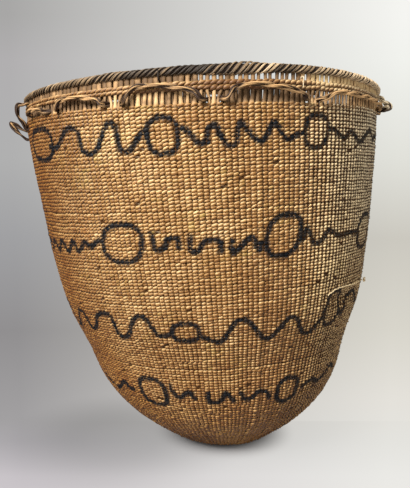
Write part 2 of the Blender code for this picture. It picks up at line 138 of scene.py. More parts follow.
# Dyed figures: lines as (angle, height) and rings as (angle, height, half width, half height, slant),
# in degrees and millimetres of the upright basket; the waves go on round the back by rule
DYED_LINES = (
    ((-48.6, 322), (-44.6, 320.6), (-39.5, 334), (-35.1, 333), (-33.7, 316.5), (-29.5, 315.5), (-25.2, 335),
     (-22.8, 335), (-21.7, 316), (-18.9, 315.5), (-15.3, 329), (-14.2, 330)),
    ((-6.2, 331), (-4.6, 330), (-3.0, 326), (-1.4, 319), (0.8, 319), (1.5, 328.5), (3.0, 332.5),
     (3.9, 328.5), (5.7, 317.5), (8.0, 317.5), (9.5, 333.5), (11.4, 327), (13.7, 319.5), (15.5, 319.5),
     (17.8, 332), (18.9, 332), (21.9, 320), (25.8, 324), (27.0, 325)),
    ((35.6, 329), (38.0, 327.5), (42.5, 320.5), (46.0, 326.5), (51.0, 318), (55.2, 323.5), (60.0, 329),
     (64.0, 321), (69.0, 326), (74.0, 320)),
    ((-78.0, 240), (-74.0, 231), (-70.0, 240), (-66.0, 231), (-62.0, 240), (-58.0, 231), (-54.0, 240),
     (-50.5, 230.5), (-46.5, 240), (-44.3, 231.5), (-40.2, 240), (-37.9, 235.5), (-34.1, 241), (-32.6, 240)),
    ((-16.3, 247.5), (-15.5, 234), (-13.2, 234), (-11.4, 242), (-8.9, 242), (-8.5, 234)),
    ((-5.3, 242.5), (-5.4, 232), (-3.5, 231), (-1.3, 239), (2.4, 238.5), (2.8, 230)),
    ((6.0, 238), (6.4, 227.5), (11.6, 239.5), (13.5, 228), (14.0, 234)),
    ((27.4, 233), (29.1, 243), (31.5, 230.5), (34.7, 230.5), (37.9, 239.5), (42.9, 233), (48.7, 234),
     (54.5, 233)),
    ((-76.0, 168), (-71.0, 174), (-66.0, 160), (-61.0, 152), (-55.4, 170), (-51.7, 168.5), (-49.9, 154.5),
     (-46.5, 157), (-43.1, 170), (-37.2, 172), (-34.8, 152), (-31.0, 153), (-26.4, 171), (-23.1, 172),
     (-19.6, 155.5), (-16.9, 154.5), (-15.0, 157)),
    ((-5.4, 154), (-1.4, 148.5), (1.6, 148), (6.5, 166.5), (10.3, 165.5), (14.9, 149.5), (18.1, 148.5),
     (23.6, 163.5), (27.1, 162), (30.3, 148), (34.2, 146), (37.2, 153), (40.1, 159)),
    ((49.0, 160), (52.0, 156), (55.0, 168), (60.0, 173), (66.0, 160), (72.0, 170)),
    ((-62.0, 92), (-57.0, 85), (-53.0, 84), (-49.4, 87), (-46.5, 92), (-43.7, 94), (-41.5, 88),
     (-39.7, 89.5)),
    ((-19.9, 102), (-19.2, 93.5), (-16.6, 89.5), (-12.8, 96), (-10.5, 88.5)),
    ((-5.0, 95.5), (-5.0, 86.5), (-2.6, 84), (0.2, 86.5), (2.0, 94), (5.1, 85.5)),
    ((7.9, 94), (9.5, 87), (12.4, 87.5), (14.8, 93), (18.2, 92), (19.9, 86)),
    ((37.0, 88), (41.9, 93.5), (47.3, 88), (52.2, 93.5), (57.0, 99), (62.0, 92)),
)
DYED_RINGS = (
    (-54.6, 324.0, 7.8, 13.4, 0.0), (-10.0, 324.6, 3.9, 14.2, 0.0), (31.5, 325.4, 4.0, 13.2, 0.10),
    (-25.8, 238.2, 6.5, 16.2, 0.10), (21.3, 238.6, 5.2, 17.6, 0.22), (62.0, 232, 7.0, 16.0, 0.10),
    (-9.8, 157, 4.5, 8.4, 0.0), (44.4, 163, 4.4, 16.0, 0.15), (-28.7, 91, 6.0, 15.2, 0.0),
    (28.6, 89.0, 5.0, 12.5, 0.05),
)
# Height of each band of figures, and of its waves, where the back goes on by rule
BACK_BANDS = ((325.0, 8.0), (236.0, 5.5), (160.0, 9.0), (90.0, 5.0))

# Where the wall is painted lighter or darker, partly for its own tone and partly as painted light and shade:
# angle, share of the height, reach of each, and how much
WALL_PATCHES = (
    (20, 0.59, 11, 0.14, -0.27), (37, 0.60, 8, 0.12, 0.20), (52, 0.60, 10, 0.14, 0.18),
    (53, 0.82, 10, 0.14, 0.38), (22, 0.82, 8, 0.10, -0.12), (-38, 0.84, 10, 0.10, -0.13),
    (0, 0.61, 16, 0.12, -0.14), (-12, 0.42, 12, 0.09, -0.10), (18, 0.40, 18, 0.12, -0.17),
    (35, 0.14, 34, 0.12, -0.22), (-22, 0.97, 8, 0.06, 0.10), (2, 0.98, 8, 0.05, -0.12),
    (24, 0.98, 8, 0.05, -0.18), (36, 0.98, 6, 0.05, 0.16), (58, 0.97, 13, 0.06, 0.40),
    (12, 0.80, 7, 0.10, -0.08), (8, 0.08, 24, 0.10, 0.20),
)

# Camera as the photograph was taken: focal length of a 488-pixel side, place and downward tilt
PHOTO_SIDE = 488
FOCAL_PIXELS = 561.0
CAMERA_PLACE = (-21.5 * MM, -636.0 * MM, 280.0 * MM)
CAMERA_TILT = 5.5
SENSOR_WIDTH = 36.0

# Painted tones of light on the paper, from the floor, 0, to the top of the picture, 1, on its left and on
# its right
PAPER_LEFT = (
    (0.01, "#CAC5C9"), (0.09, "#ADAAAD"), (0.14, "#A2A0A1"), (0.34, "#918F90"), (0.54, "#A0A0A2"),
    (0.71, "#B0B0B0"), (0.91, "#B1AFB0"), (1.0, "#A8A7A6"),
)
PAPER_RIGHT = (
    (0.01, "#EBEAE6"), (0.09, "#E5E4DF"), (0.19, "#E4E1DA"), (0.34, "#D8D5CB"), (0.54, "#CBC8BF"),
    (0.71, "#E1E1DA"), (0.91, "#F1F2ED"), (1.0, "#F5F5F1"),
)
# Name, place, size and power of each lamp
LAMPS = (
    ("key", (-0.85, -1.35, 1.35), 0.65, 76.0),
    ("fill", (1.3, -0.9, 1.3), 1.4, 8.0),
    ("top", (0.2, 0.2, 1.9), 1.4, 7.0),
)


def linear(code):
    """An sRGB hex colour as linear red, green, blue and alpha."""
    parts = [int(code[at : at + 2], 16) / 255 for at in (1, 3, 5)]
    return tuple(p / 12.92 if p <= 0.04045 else ((p + 0.055) / 1.055) ** 2.4 for p in parts) + (1.0,)


def length_prop(name, description, default):
    return FloatProperty(
        name=name, description=description, default=default, min=0.0, unit="LENGTH", precision=5
    )


def colour_prop(name, description, code):
    return FloatVectorProperty(
        name=name, description=description, default=linear(code), size=4, min=0.0, max=1.0, subtype="COLOR"
    )


class WeaveSizes(PropertyGroup):
    """Sizes of the close twining."""

    row_pitch: length_prop("Row pitch", "Height of one weft row", 2.95 * MM)
    foot_growth: FloatProperty(
        name="Foot growth", description="How much taller the rows are at the foot", default=0.5, min=0.0
    )
    low_pitch: length_prop("Warp pitch at the foot", "Least distance between warps", 4.15 * MM)
    stitch_width: length_prop("Stitch width", "Width of a weft strand where it shows", 3.5 * MM)
    stitch_depth: length_prop("Stitch depth", "Thickness of a weft strand", 2.1 * MM)
    stitch_tuck: length_prop("Stitch tuck", "How deep a stitch's ends dip under the next ones", 1.8 * MM)
    stitch_reach: FloatProperty(
        name="Stitch reach", description="Length of a stitch in warp pitches", default=1.62, min=1.0
    )
    slant: FloatProperty(
        name="Slant", description="Rise of a stitch to the right", default=math.radians(24), subtype="ANGLE"
    )
    line_width: length_prop("Dyed line", "Width of the dyed lines", 5.3 * MM)


class CollarSizes(PropertyGroup):
    """Sizes of the openwork collar, border and cords."""

    warp_width: length_prop("Warp width", "Width of a bare warp end at its narrowest", 3.1 * MM)
    warp_depth: length_prop("Warp depth", "Thickness of a bare warp end", 2.0 * MM)
    weft_strand: length_prop("Collar weft", "Width of a stitch of the collar's weft rows", 3.5 * MM)
    border_strand: length_prop("Border strand", "Width of a strand of the braided border", 1.15 * MM)
    border_run: length_prop("Border run", "How far a border strand moves on as it rises", 15.0 * MM)
    cord_width: length_prop("Cord width", "Width over the plies of the laced cord", 4.7 * MM)
    cord_lay: length_prop("Cord lay", "Length in which a ply of the cord turns once", 46.0 * MM)


class BasketColours(PropertyGroup):
    """Colours of the fibres, the dye and the stage."""

    straw_light: colour_prop("Straw, light", "Best lit fibre of the wall", "#DDBF8A")
    straw_mid: colour_prop("Straw", "Usual fibre of the wall", "#A17742")
    straw_dark: colour_prop("Straw, dark", "Darkest fibre of the wall", "#6A4319")
    straw_red: colour_prop("Straw, reddish", "Fibre that has reddened", "#A8713B")
    straw_green: colour_prop("Straw, greenish", "Fibre that has stayed yellowish green", "#A89148")
    crevice: colour_prop("Crevice", "Dust and shade between stitches", "#331D09")
    # Multiplied over the foot, the left edge and the inside: partly soil, partly painted shade
    soiled: colour_prop("Soil", "Tint of the browned foot and left side", "#C2A87E")
    dye: colour_prop("Dye", "Blue-black of the figures", "#0C0F13")
    warp: colour_prop("Warp", "Bare warp ends", "#B08A5E")
    # Reached on the crowns of the border's and the cord's strands, which stand pale against painted shade,
    # and on the border's painted light on the right
    border_light: colour_prop("Border, light", "Rubbed strands of the border", "#C8AD88")
    border_dark: colour_prop("Border, dark", "Dark strands of the border", "#1E1713")
    cord_light: colour_prop("Cord, light", "Rubbed tops of the cord", "#C69C69")
    cord_dark: colour_prop("Cord, dark", "Hollows of the cord", "#2E1C0E")
    thread: colour_prop("Thread", "Mending thread", "#DAC6A2")
    paper: colour_prop("Paper", "Paper that the basket stands on", "#CBCACA")


def ramp(value, start, end):
    """0 rising to 1 as a value goes from start to end."""
    return np.clip((value - start) / (end - start), 0, 1)


def swell(value, middle, reach, power=2):
    """1 at the middle, falling away to 0 past the reach."""
    return np.exp(-(((value - middle) / reach) ** power))


def turned(angle):
    """The same angle between -180 and 180 degrees."""
    return (angle + 180) % 360 - 180


def distances(route):
    """Distance along a route to each of its points."""
    return np.append(0, np.cumsum(np.linalg.norm(np.diff(route, axis=0), axis=1)))


def hermite(points, at):
    """Values at places on the smooth curve through (place, value) points."""
    places, values = np.array(points, float).T
    slopes = np.empty_like(values)
    slopes[1:-1] = (values[2:] - values[:-2]) / (places[2:] - places[:-2])
    slopes[0], slopes[-1] = (np.diff(values) / np.diff(places))[[0, -1]]
    at = np.clip(at, places[0], places[-1])
    i = np.clip(np.searchsorted(places, at, side="right") - 1, 0, len(places) - 2)
    width = places[i + 1] - places[i]
    t = (at - places[i]) / width
    held = values[i] * (2 * t**3 - 3 * t**2 + 1) + values[i + 1] * (3 * t**2 - 2 * t**3)
    return held + width * (slopes[i] * (t**3 - 2 * t**2 + t) + slopes[i + 1] * (t**3 - t**2))


def wall_profile():
    """The wall's outer side from its last row down to the middle of the base, every millimetre.

    Distance along it, radius, height, and how far outward and upward its face looks.
    """
    shares = np.linspace(1, 0, 400)
    curve = ((0.0, BASE_FLAT_RADIUS / WALL_RADIUS),) + SIDE_CURVE
    base = np.linspace(0.9, 0, 20) * BASE_FLAT_RADIUS
    radius = np.concatenate(([WALL_RADIUS], WALL_RADIUS * hermite(curve, shares), base))
    height = np.concatenate(([FOOT_ROW_TOP], WALL_HEIGHT * shares, 0 * base))
    along = distances(np.column_stack((radius, height)))
    even = np.arange(0, along[-1], 1.0 * MM)
    radius, height = np.interp(even, along, radius), np.interp(even, along, height)
    run, drop = np.gradient(radius), np.gradient(height)
    size = np.hypot(run, drop)
    soft = np.hanning(9) / np.hanning(9).sum()
    facing = [np.convolve(np.pad(v / size, 4, mode="edge"), soft, mode="valid") for v in (-drop, run)]
    return even, radius, height, *facing


PROFILE = wall_profile()
WALL_LENGTH = PROFILE[0][-1]


def along_of(height):
    """Distance down the wall to a height."""
    foot = np.argmin(PROFILE[2])
    return np.interp(-np.asarray(height), -PROFILE[2][:foot], PROFILE[0][:foot])


def settled(points):
    """Where points of the round, upright basket have come to rest."""
    x, y, z = np.moveaxis(points, -1, 0)
    share = z / RIM_HEIGHT
    tip = RIM_TIP * share + WAIST_TIP * (4 * share * (1 - share)) ** 2
    side = x / WALL_RADIUS
    collar = np.maximum(0.0, (z - WALL_HEIGHT) / (RIM_HEIGHT - WALL_HEIGHT))
    rise = share**4 * (TOP_SADDLE * side**2 + TOP_TIP * side)
    rise = rise + collar * (COLLAR_TWIST * (side - side**3) - COLLAR_DROP * side**2)
    return np.stack((x + RIM_LEAN * share + COLLAR_SHIFT * collar, y, z + tip * x + rise), axis=-1)


def polar(angle, radius, height):
    """Points of the upright basket at angles from the front."""
    turn = np.radians(angle)
    return np.stack(np.broadcast_arrays(radius * np.sin(turn), -radius * np.cos(turn), height), axis=-1)


def waves(seed, angle, along, counts, lengths):
    """Slow uneven swell of about -1 to 1 over the wall, the same on each run."""
    chance = np.random.default_rng(seed)
    total = 0.0
    for count, size in zip(counts, lengths):
        phase, other = chance.uniform(0, 2 * np.pi, 2)
        total = total + np.sin(np.radians(angle) * count + phase) * np.sin(2 * np.pi * along / size + other)
    return total / len(counts)


def dent(angle, along):
    """Fold in the wall under the mend, 0 to 1."""
    line = np.interp(angle, *np.transpose(DENT_LINE)) * MM
    return swell(angle, 51, 8.5) * swell(along, along_of(line), 7.5 * MM)


def wall_point(angle, along, lift):
    """Upright points off the wall's even face."""
    radius, height, outward, upward = (np.interp(along, PROFILE[0], values) for values in PROFILE[1:])
    return polar(angle, radius + lift * outward, height + lift * upward)


def on_wall(angle, along, lift):
    """World points on the uneven wall: angle, distance down from its top row, and lift off its face."""
    # The top rows and the foot keep to the even face
    calm = ramp(along, 0, 45 * MM) * ramp(along, WALL_LENGTH, WALL_LENGTH - 70 * MM)
    sway = 1.3 * MM * waves(3, angle, along, (2, 3, 5, 7, 11), (0.33, 0.21, 0.17, 0.12, 0.09))
    sway = sway + 0.6 * MM * waves(5, angle, along, (17, 23, 31), (0.06, 0.045, 0.08))
    bulge = 0.7 * MM * waves(4, angle, along, (3, 5, 9, 14), (0.25, 0.16, 0.10, 0.07))
    lift = lift + calm * bulge - 4.0 * MM * dent(turned(angle), along)
    return settled(wall_point(angle, along + calm * sway, lift))


def stake_angle(place):
    return FRONT_RIB_ANGLE + STAKE_STEP * np.asarray(place, float)


def in_view(side):
    """1 over the front and the sides, and down to 0 in the middle of the back."""
    return ramp(abs(side), 165, 120)


def smooth_route(points, per_span, closed=False):
    """Points read from a smooth curve through the route's own points."""
    points = np.asarray(points, float)
    ends = (points[-1:], points, points[:2]) if closed else (points[:1], points, points[-1:])
    padded = np.concatenate(ends)
    t = (np.arange(per_span) / per_span)[:, None]
    route = []
    for a, b, c, d in zip(padded, padded[1:], padded[2:], padded[3:]):
        bend = (2 * a - 5 * b + 4 * c - d) * t**2 + (3 * b - a - 3 * c + d) * t**3
        route.append(0.5 * (2 * b + (c - a) * t + bend))
    return np.concatenate(route + [points[:1] if closed else points[-1:]])


def even_route(route, count):
    """The same route in evenly spaced points."""
    steps = distances(route)
    places = np.linspace(0, steps[-1], count)
    return np.stack([np.interp(places, steps, route[:, k]) for k in range(3)], axis=-1)


def unit(vectors):
    return vectors / np.maximum(np.linalg.norm(vectors, axis=-1, keepdims=True), 1e-12)


def grain_form(around, along):
    """A grain: a sphere with its poles along X."""
    made = bmesh.new()
    bmesh.ops.create_uvsphere(
        made, u_segments=around, v_segments=along, radius=1.0, matrix=Matrix.Rotation(math.pi / 2, 4, "Y")
    )
    return made


def drawn_out(made, step, steps):
    """Draws a section out along a step, time after time."""
    geometry = made.verts[:] + made.edges[:]
    bmesh.ops.spin(
        made, geom=geometry, cent=(0, 0, 0), axis=(0, 0, 1), dvec=step, angle=0, steps=steps
    )


def strand_form(sides, rings):
    """A straight round strand of many rings along Z, closed at both ends."""
    made = bmesh.new()
    bmesh.ops.create_circle(made, segments=sides, radius=1.0)
    drawn_out(made, (0, 0, 1), rings - 1)
    bmesh.ops.holes_fill(made, edges=[e for e in made.edges if e.is_boundary], sides=sides)
    bmesh.ops.recalc_face_normals(made, faces=made.faces[:])
    return made


def put(name, data, place=(0, 0, 0), turn=(0, 0, 0)):
    """A new object in the scene."""
    made = bpy.data.objects.new(name, data)
    made.location, made.rotation_euler = place, turn
    bpy.context.scene.collection.objects.link(made)
    return made


def points_of(mesh):
    points = np.empty(len(mesh.vertices) * 3)
    mesh.vertices.foreach_get("co", points)
    return points.reshape(-1, 3)


def carried_round(name, made, step, steps, placed):
    """Mesh of a closed section carried right round the basket, each point then put where it belongs."""
    drawn_out(made, step, steps)
    mesh = bpy.data.meshes.new(name)
    made.to_mesh(mesh)
    for vertex, spot in zip(made.verts, placed(*points_of(mesh).T)):
        vertex.co = spot
    bmesh.ops.remove_doubles(made, verts=made.verts[:], dist=0.01 * MM)
    bmesh.ops.recalc_face_normals(made, faces=made.faces[:])
    made.to_mesh(mesh)
    made.free()
    mesh.shade_smooth()
    return mesh


def repeated(form, count):
    """A mesh of many copies of a form in one place, and the form's own points."""
    mesh = bpy.data.meshes.new("form")
    form.to_mesh(mesh)
    form.free()
    points = points_of(mesh)
    obj = put("form", mesh)
    copies = obj.modifiers.new("copies", "ARRAY")
    copies.count = count
    copies.use_relative_offset = False
    bpy.context.view_layer.update()
    made = bpy.data.meshes.new_from_object(obj.evaluated_get(bpy.context.evaluated_depsgraph_get()))
    bpy.data.objects.remove(obj, do_unlink=True)
    bpy.data.meshes.remove(mesh)
    return made, points


def note(mesh, name, values, kind="FLOAT"):
    """Writes an attribute that the material reads."""
    held = mesh.attributes.new(name, kind, "POINT")
    field = "vector" if kind == "FLOAT_VECTOR" else "value"
    held.data.foreach_set(field, np.asarray(values, np.float32).ravel())


def laid(mesh, points):
    mesh.vertices.foreach_set("co", np.asarray(points, np.float32).ravel())
    mesh.update()
    mesh.shade_smooth()
    return mesh


def strands(routes, outward, width, depth, tone, sides=6, heart=None, shade=0.0):
    """Strands laid along routes (strand, point, xyz), each with its flat side turned outward.

    Their sides away from the light are painted darker by the shade, and so is all that lies near the heart,
    the middle line of the cord that they make up, as painted shade in its grooves.
    """
    count, rings = routes.shape[:2]
    mesh, form = repeated(strand_form(sides, rings), count)
    ring = np.rint(form[:, 2]).astype(int)
    going = unit(np.gradient(routes, axis=1))
    across = unit(np.cross(going, np.broadcast_to(outward, routes.shape)))
    up = np.cross(across, going)
    width, depth, tone = (np.broadcast_to(v, (count, rings))[:, ring] for v in (width, depth, tone))
    sideways = form[:, 0] * width / 2
    points = routes[:, ring] + across[:, ring] * sideways[..., None]
    points = points + up[:, ring] * (form[:, 1] * depth / 2)[..., None]
    laid(mesh, points)
    steps = np.linalg.norm(np.diff(routes, axis=1, prepend=routes[:, :1]), axis=-1)
    seeds = np.broadcast_to(np.arange(count)[:, None] * SEED_STEP, (count, len(ring)))
    fibre = (np.cumsum(steps, axis=1)[:, ring], sideways + form[:, 1] * 0.3 * MM, seeds)
    note(mesh, "fibre", np.stack(fibre, axis=-1), "FLOAT_VECTOR")
    tone = tone - shade * (1 - form[:, 1]) / 2
    if heart is not None:
        away = np.linalg.norm(points - np.broadcast_to(heart, routes.shape)[:, ring], axis=-1)
        tone = tone - 0.8 * (0.95 - np.clip(away / np.percentile(away, 97), 0, 0.95))
    note(mesh, "tone", np.clip(tone, 0, 1))
    return mesh


def wound(path, facing, swing, turns, closed):
    """Path that winds round another path."""
    going = unit(np.gradient(path, axis=0))
    if closed:
        going[0] = going[-1] = unit(path[1] - path[-2])
    across = unit(np.cross(going, facing))
    turn = 2 * np.pi * turns
    return path + swing * (np.cos(turn)[:, None] * across + np.sin(turn)[:, None] * np.cross(across, going))


def twisted(route, facing, diameter, lay, tone, seed, threads=3, closed=False):
    """Two plies twisted round a route, each of a few strands twisted the other way.

    The diameter and the tone are single values, or one for each point of the route.
    """
    chance = np.random.default_rng(seed)
    steps = distances(route)
    size = steps[-1]
    count = max(int(size / (1.0 * MM)), 24)
    places = np.linspace(0, 1, count)
    tone, diameter = (
        np.interp(places * size, steps, np.broadcast_to(values, len(route))) for values in (tone, diameter)
    )
    route = even_route(route, count)
    facing = facing(route) if callable(facing) else np.broadcast_to(facing, route.shape)
    turns = max(round(size / lay), 1) if closed else size / lay
    uneven = 0.0 if closed else 0.06 * np.sin(places * size / (31 * MM) * 2 * np.pi + 1)
    paths, tones = [], []
    for ply in range(2):
        middle = wound(route, facing, 0.25 * diameter[:, None], turns * places + ply / 2 + uneven, closed)
        for thread in range(threads):
            start = thread / threads + chance.uniform(-0.08, 0.08)
            paths.append(wound(middle, facing, 0.135 * diameter[:, None], start - turns * places, closed))
            tones.append(tone + chance.normal(0, 0.26))
    thick = diameter * 0.30 * chance.uniform(0.85, 1.15, (len(paths), 1))
    return strands(np.array(paths), facing[None], thick, thick, np.array(tones), 6, heart=route[None])


def joined(meshes):
    """Several meshes with their attributes as one."""
    objects = [put("part", mesh) for mesh in meshes]
    with bpy.context.temp_override(
        active_object=objects[0], selected_objects=objects, selected_editable_objects=objects
    ):
        bpy.ops.object.join()
    mesh = objects[0].data
    bpy.data.objects.remove(objects[0], do_unlink=True)
    return mesh


def piece(name, mesh, finish, body="basket", nodes=()):
    """A finished piece of the basket: it rides on its body and stands for its CAD nodes."""
    mesh.name = name
    mesh.materials.clear()
    mesh.materials.append(finish)
    obj = put(name, mesh)
    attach(obj, body)
    if nodes:
        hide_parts(*nodes)
    return obj


def feed(tree, node, inputs):
    """Gives a node its inputs: each a value, another node's output, or a node for its first output."""
    for name, value in inputs.items():
        if isinstance(value, bpy.types.Node):
            value = value.outputs[0]
        if isinstance(value, bpy.types.NodeSocket):
            tree.links.new(value, node.inputs[name])
        else:
            node.inputs[name].default_value = value


def add_node(tree, kind, inputs=None, **settings):
    """One shader node with its settings and inputs."""
    made = tree.nodes.new("ShaderNode" + kind)
    for name, value in settings.items():
        setattr(made, name, value)
    feed(tree, made, inputs or {})
    return made


def new_material(name):
    made = bpy.data.materials.new(name)
    made.use_nodes = True
    tree = made.node_tree
    tree.nodes.clear()
    shader = add_node(tree, "BsdfPrincipled")
    add_node(tree, "OutputMaterial", {"Surface": shader}).is_active_output = True
    return made, tree, shader


def set_stops(node, stops):
    """Gives a colour ramp its stops: position and colour."""
    held = node.color_ramp.elements
    held[0].position, held[0].color = stops[0]
    held[1].position, held[1].color = stops[-1]
    for position, colour in stops[1:-1]:
        held.new(position).color = colour


def fibre_colour(tree, low, middle, high, streak=0.5):
    """Colour of split fibre by its tone, streaked along its length; also the streaks themselves."""
    tone, fibre = (add_node(tree, "Attribute", attribute_name=name) for name in ("tone", "fibre"))
    # Fibres of about 0.35 mm that run the length of the strand
    scale = (160.0, 2800.0, 10.0)
    stretched = add_node(tree, "Mapping", {"Vector": fibre.outputs["Vector"], "Scale": scale})
    streaks = add_node(
        tree, "TexNoise", {"Vector": stretched, "Scale": 1.0, "Detail": 3.0, "Roughness": 0.6}
    )
    shifted = add_node(tree, "Math", {0: streaks, 1: streak, 2: -streak / 2}, operation="MULTIPLY_ADD")
    mixed = add_node(tree, "Math", {0: tone.outputs["Fac"], 1: shifted}, operation="ADD")
    colour = add_node(tree, "ValToRGB", {"Fac": mixed})
    set_stops(colour, ((0.12, low), (0.5, middle), (0.88, high)))
    return colour, streaks


def mixed_colour(tree, amount, first, second, blend="MIX"):
    """Second colour over the first by an amount."""
    inputs = {0: amount, 6: first, 7: second}
    return add_node(tree, "Mix", inputs, data_type="RGBA", blend_type=blend).outputs[2]


def twined_straw(colours):
    """Twined split root and straw: dry, with a slight natural gloss where hands have rubbed it."""
    made, tree, shader = new_material("twined_split_straw")
    colour, streaks = fibre_colour(tree, colours.straw_dark, colours.straw_mid, colours.straw_light, 0.7)
    hue, faded, soiled, dye, hollow = (
        add_node(tree, "Attribute", attribute_name=name).outputs["Fac"]
        for name in ("hue", "faded", "soiled", "dye", "hollow")
    )
    # Some strands have reddened and some have stayed yellowish green
    reddened = (0.62, 1.0, 0.75, colours.straw_red)
    greenish = (0.38, 0.0, 0.60, colours.straw_green)
    for low, high, strength, other in (reddened, greenish):
        share = add_node(
            tree, "MapRange", {"Value": hue, "From Min": low, "From Max": high, "To Max": strength}
        )
        colour = mixed_colour(tree, share, colour, other)
    # Painted light from the side greys and lightens the upper right, with some real fading in patches; the
    # foot, the left edge and the inside are darker and browner, partly soil and partly painted shade
    greyed = add_node(
        tree, "HueSaturation",
        {"Color": colour, "Fac": faded, "Hue": 0.512, "Saturation": 0.66, "Value": 1.13},
    )
    colour = mixed_colour(tree, soiled, greyed, colours.soiled, "MULTIPLY")
    # Painted shade: the hollows mixed towards the crevice colour
    colour = mixed_colour(tree, hollow, colour, colours.crevice)
    colour = mixed_colour(tree, dye, colour, colours.dye)
    gloss = add_node(tree, "MapRange", {"Value": dye, "To Min": 0.3, "To Max": 0.12})
    rough = add_node(tree, "MapRange", {"Value": streaks, "To Min": 0.38, "To Max": 0.60})
    bump = add_node(tree, "Bump", {"Height": streaks, "Strength": 0.5, "Distance": 0.12 * MM})
    looks = {"Base Color": colour, "Specular IOR Level": gloss, "Roughness": rough, "Normal": bump}
    feed(tree, shader, looks)
    return made


def plain_fibre(name, low, middle, high, roughness, streak=0.5):
    """Split or twisted plant fibre: matte, with fine streaks along each strand."""
    made, tree, shader = new_material(name)
    colour, streaks = fibre_colour(tree, low, middle, high, streak)
    bump = add_node(tree, "Bump", {"Height": streaks, "Strength": 0.6, "Distance": 0.15 * MM})
    looks = {"Base Color": colour, "Specular IOR Level": 0.3, "Roughness": roughness, "Normal": bump}
    feed(tree, shader, looks)
    return made


def shaded_fibre(name, scale, detail, first, second, roughness, gloss):
    """Fibre behind the strands, painted dark as the shade there: mottled and nearly matte."""
    made, tree, shader = new_material(name)
    place = add_node(tree, "TexCoord").outputs["Object"]
    grain = add_node(tree, "TexNoise", {"Vector": place, "Scale": scale, "Detail": detail})
    colour = mixed_colour(tree, grain, first, second)
    feed(tree, shader, {"Base Color": colour, "Roughness": roughness, "Specular IOR Level": gloss})
    return made


def halfway(first, second, share=0.5):
    """A colour part of the way from one to another."""
    return tuple(a + (b - a) * share for a, b in zip(first, second))


def dyed_points():
    """Points every millimetre or so along all the dyed lines, on the wall's face."""
    found = [smooth_route(line, 24) - (0, 0.7) for line in DYED_LINES]
    turn = np.linspace(0, 2 * np.pi, 160, endpoint=False)
    # Rings are squarer than ellipses
    across, up = (np.sign(v) * np.abs(v) ** 0.78 for v in (np.cos(turn), np.sin(turn)))
    for angle, height, half_width, half_height, slant in ring_figures():
        leaning = angle + half_width * (across + slant * up)
        found.append(np.column_stack((leaning, height + half_height * up)))
    angle, height = np.concatenate(found + back_waves()).T
    return on_wall(angle, along_of((height - 0.5) * MM), 0.0)


def ring_figures():
    """The rings of the front, and those that go on round the back."""
    rings = list(DYED_RINGS)
    chance = np.random.default_rng(21)
    for height, _ in BACK_BANDS:
        for angle in np.arange(102, 280, 44) + chance.uniform(-4, 4, 5):
            rings.append((angle, height, 5.5, 14.0, chance.uniform(-0.1, 0.2)))
    return rings


def back_waves():
    """Waves between the rings of the back."""
    routes = []
    step = 0.15
    angle = np.arange(76, 284, step)
    for number, (height, swing) in enumerate(BACK_BANDS):
        chance = np.random.default_rng(40 + number)
        half_wave = 4.6 + 0.6 * np.sin(np.radians(angle) * 5 + chance.uniform(0, 6))
        turn = np.cumsum(step / half_wave) * np.pi
        rise = swing * (1 + 0.25 * np.sin(np.radians(angle) * 9 + chance.uniform(0, 6)))
        route = np.column_stack((angle + 0.9 * np.sin(2 * turn), height + rise * np.sin(turn)))
        inside = np.zeros(len(route), bool)
        for ring_angle, ring_height, half_width, _, _ in ring_figures():
            inside |= (abs(route[:, 0] - ring_angle) < half_width) & (abs(ring_height - height) < 12)
        routes.append(route[~inside])
    return routes


def row_places(sizes):
    """Distance down the wall and height of every weft row; rows get taller where the foot turns under."""
    rows, at = [], 0.0
    start, end = along_of((105 * MM, 30 * MM))
    while at < WALL_LENGTH - sizes.row_pitch:
        share = ramp(at, start, end)
        tall = sizes.row_pitch * (1 + sizes.foot_growth * share * share * (3 - 2 * share))
        rows.append((at + tall / 2, tall))
        at += tall
    return rows


def stitch_places(sizes, first, last):
    """Every stitch of some rows: row, warp, angle, angle to the next, distance down, row's height."""
    places = np.arange(STAKE_COUNT)
    # Warps that run on furthest down have the lowest rank, and each rank is spread evenly round
    rank = (places * (math.sqrt(5) - 1) / 2) % 1
    found = []
    for row, (along, tall) in list(enumerate(row_places(sizes)))[first:last]:
        radius = np.interp(along, PROFILE[0], PROFILE[1])
        share = 2 * np.pi * radius / sizes.low_pitch / STAKE_COUNT
        present = places[rank < max(share, 5 / STAKE_COUNT)]
        # The warps that are there spread out into the gaps
        reach = min(4, len(present) // 4)
        wide = present
        if reach:
            wide = np.concatenate((present[-reach:] - STAKE_COUNT, present, present[:reach] + STAKE_COUNT))
        even = np.convolve(wide, np.ones(2 * reach + 1) / (2 * reach + 1), mode="valid")
        after = np.append(even[1:], even[0] + STAKE_COUNT)
        before = np.insert(even[:-1], 0, even[-1] - STAKE_COUNT)
        step = (after - before) / 2 * STAKE_STEP
        stitches = np.broadcast_arrays(row, present, stake_angle(even), step, along, tall)
        found.append(np.stack(stitches, axis=-1))
    return np.concatenate(found)


def clear_of_eyelets(stitches):
    """Leaves out the stitches that an ear's cord passes through."""
    keep = np.ones(len(stitches), bool)
    for place, height in (spot for ear in EARS.values() for spot in ear[:2]):
        if height < WALL_HEIGHT:
            across = turned(stitches[:, 2] - stake_angle(place)) / STAKE_STEP
            keep &= ~((abs(across) < 0.55) & (abs(stitches[:, 4] - along_of(height)) < 2.4 * MM))
    return stitches[keep]


def dye_reach(tree, points):
    """Distance of points from the nearest dyed line."""
    return np.array([tree.find(spot)[2] for spot in points.reshape(-1, 3)]).reshape(points.shape[:-1])


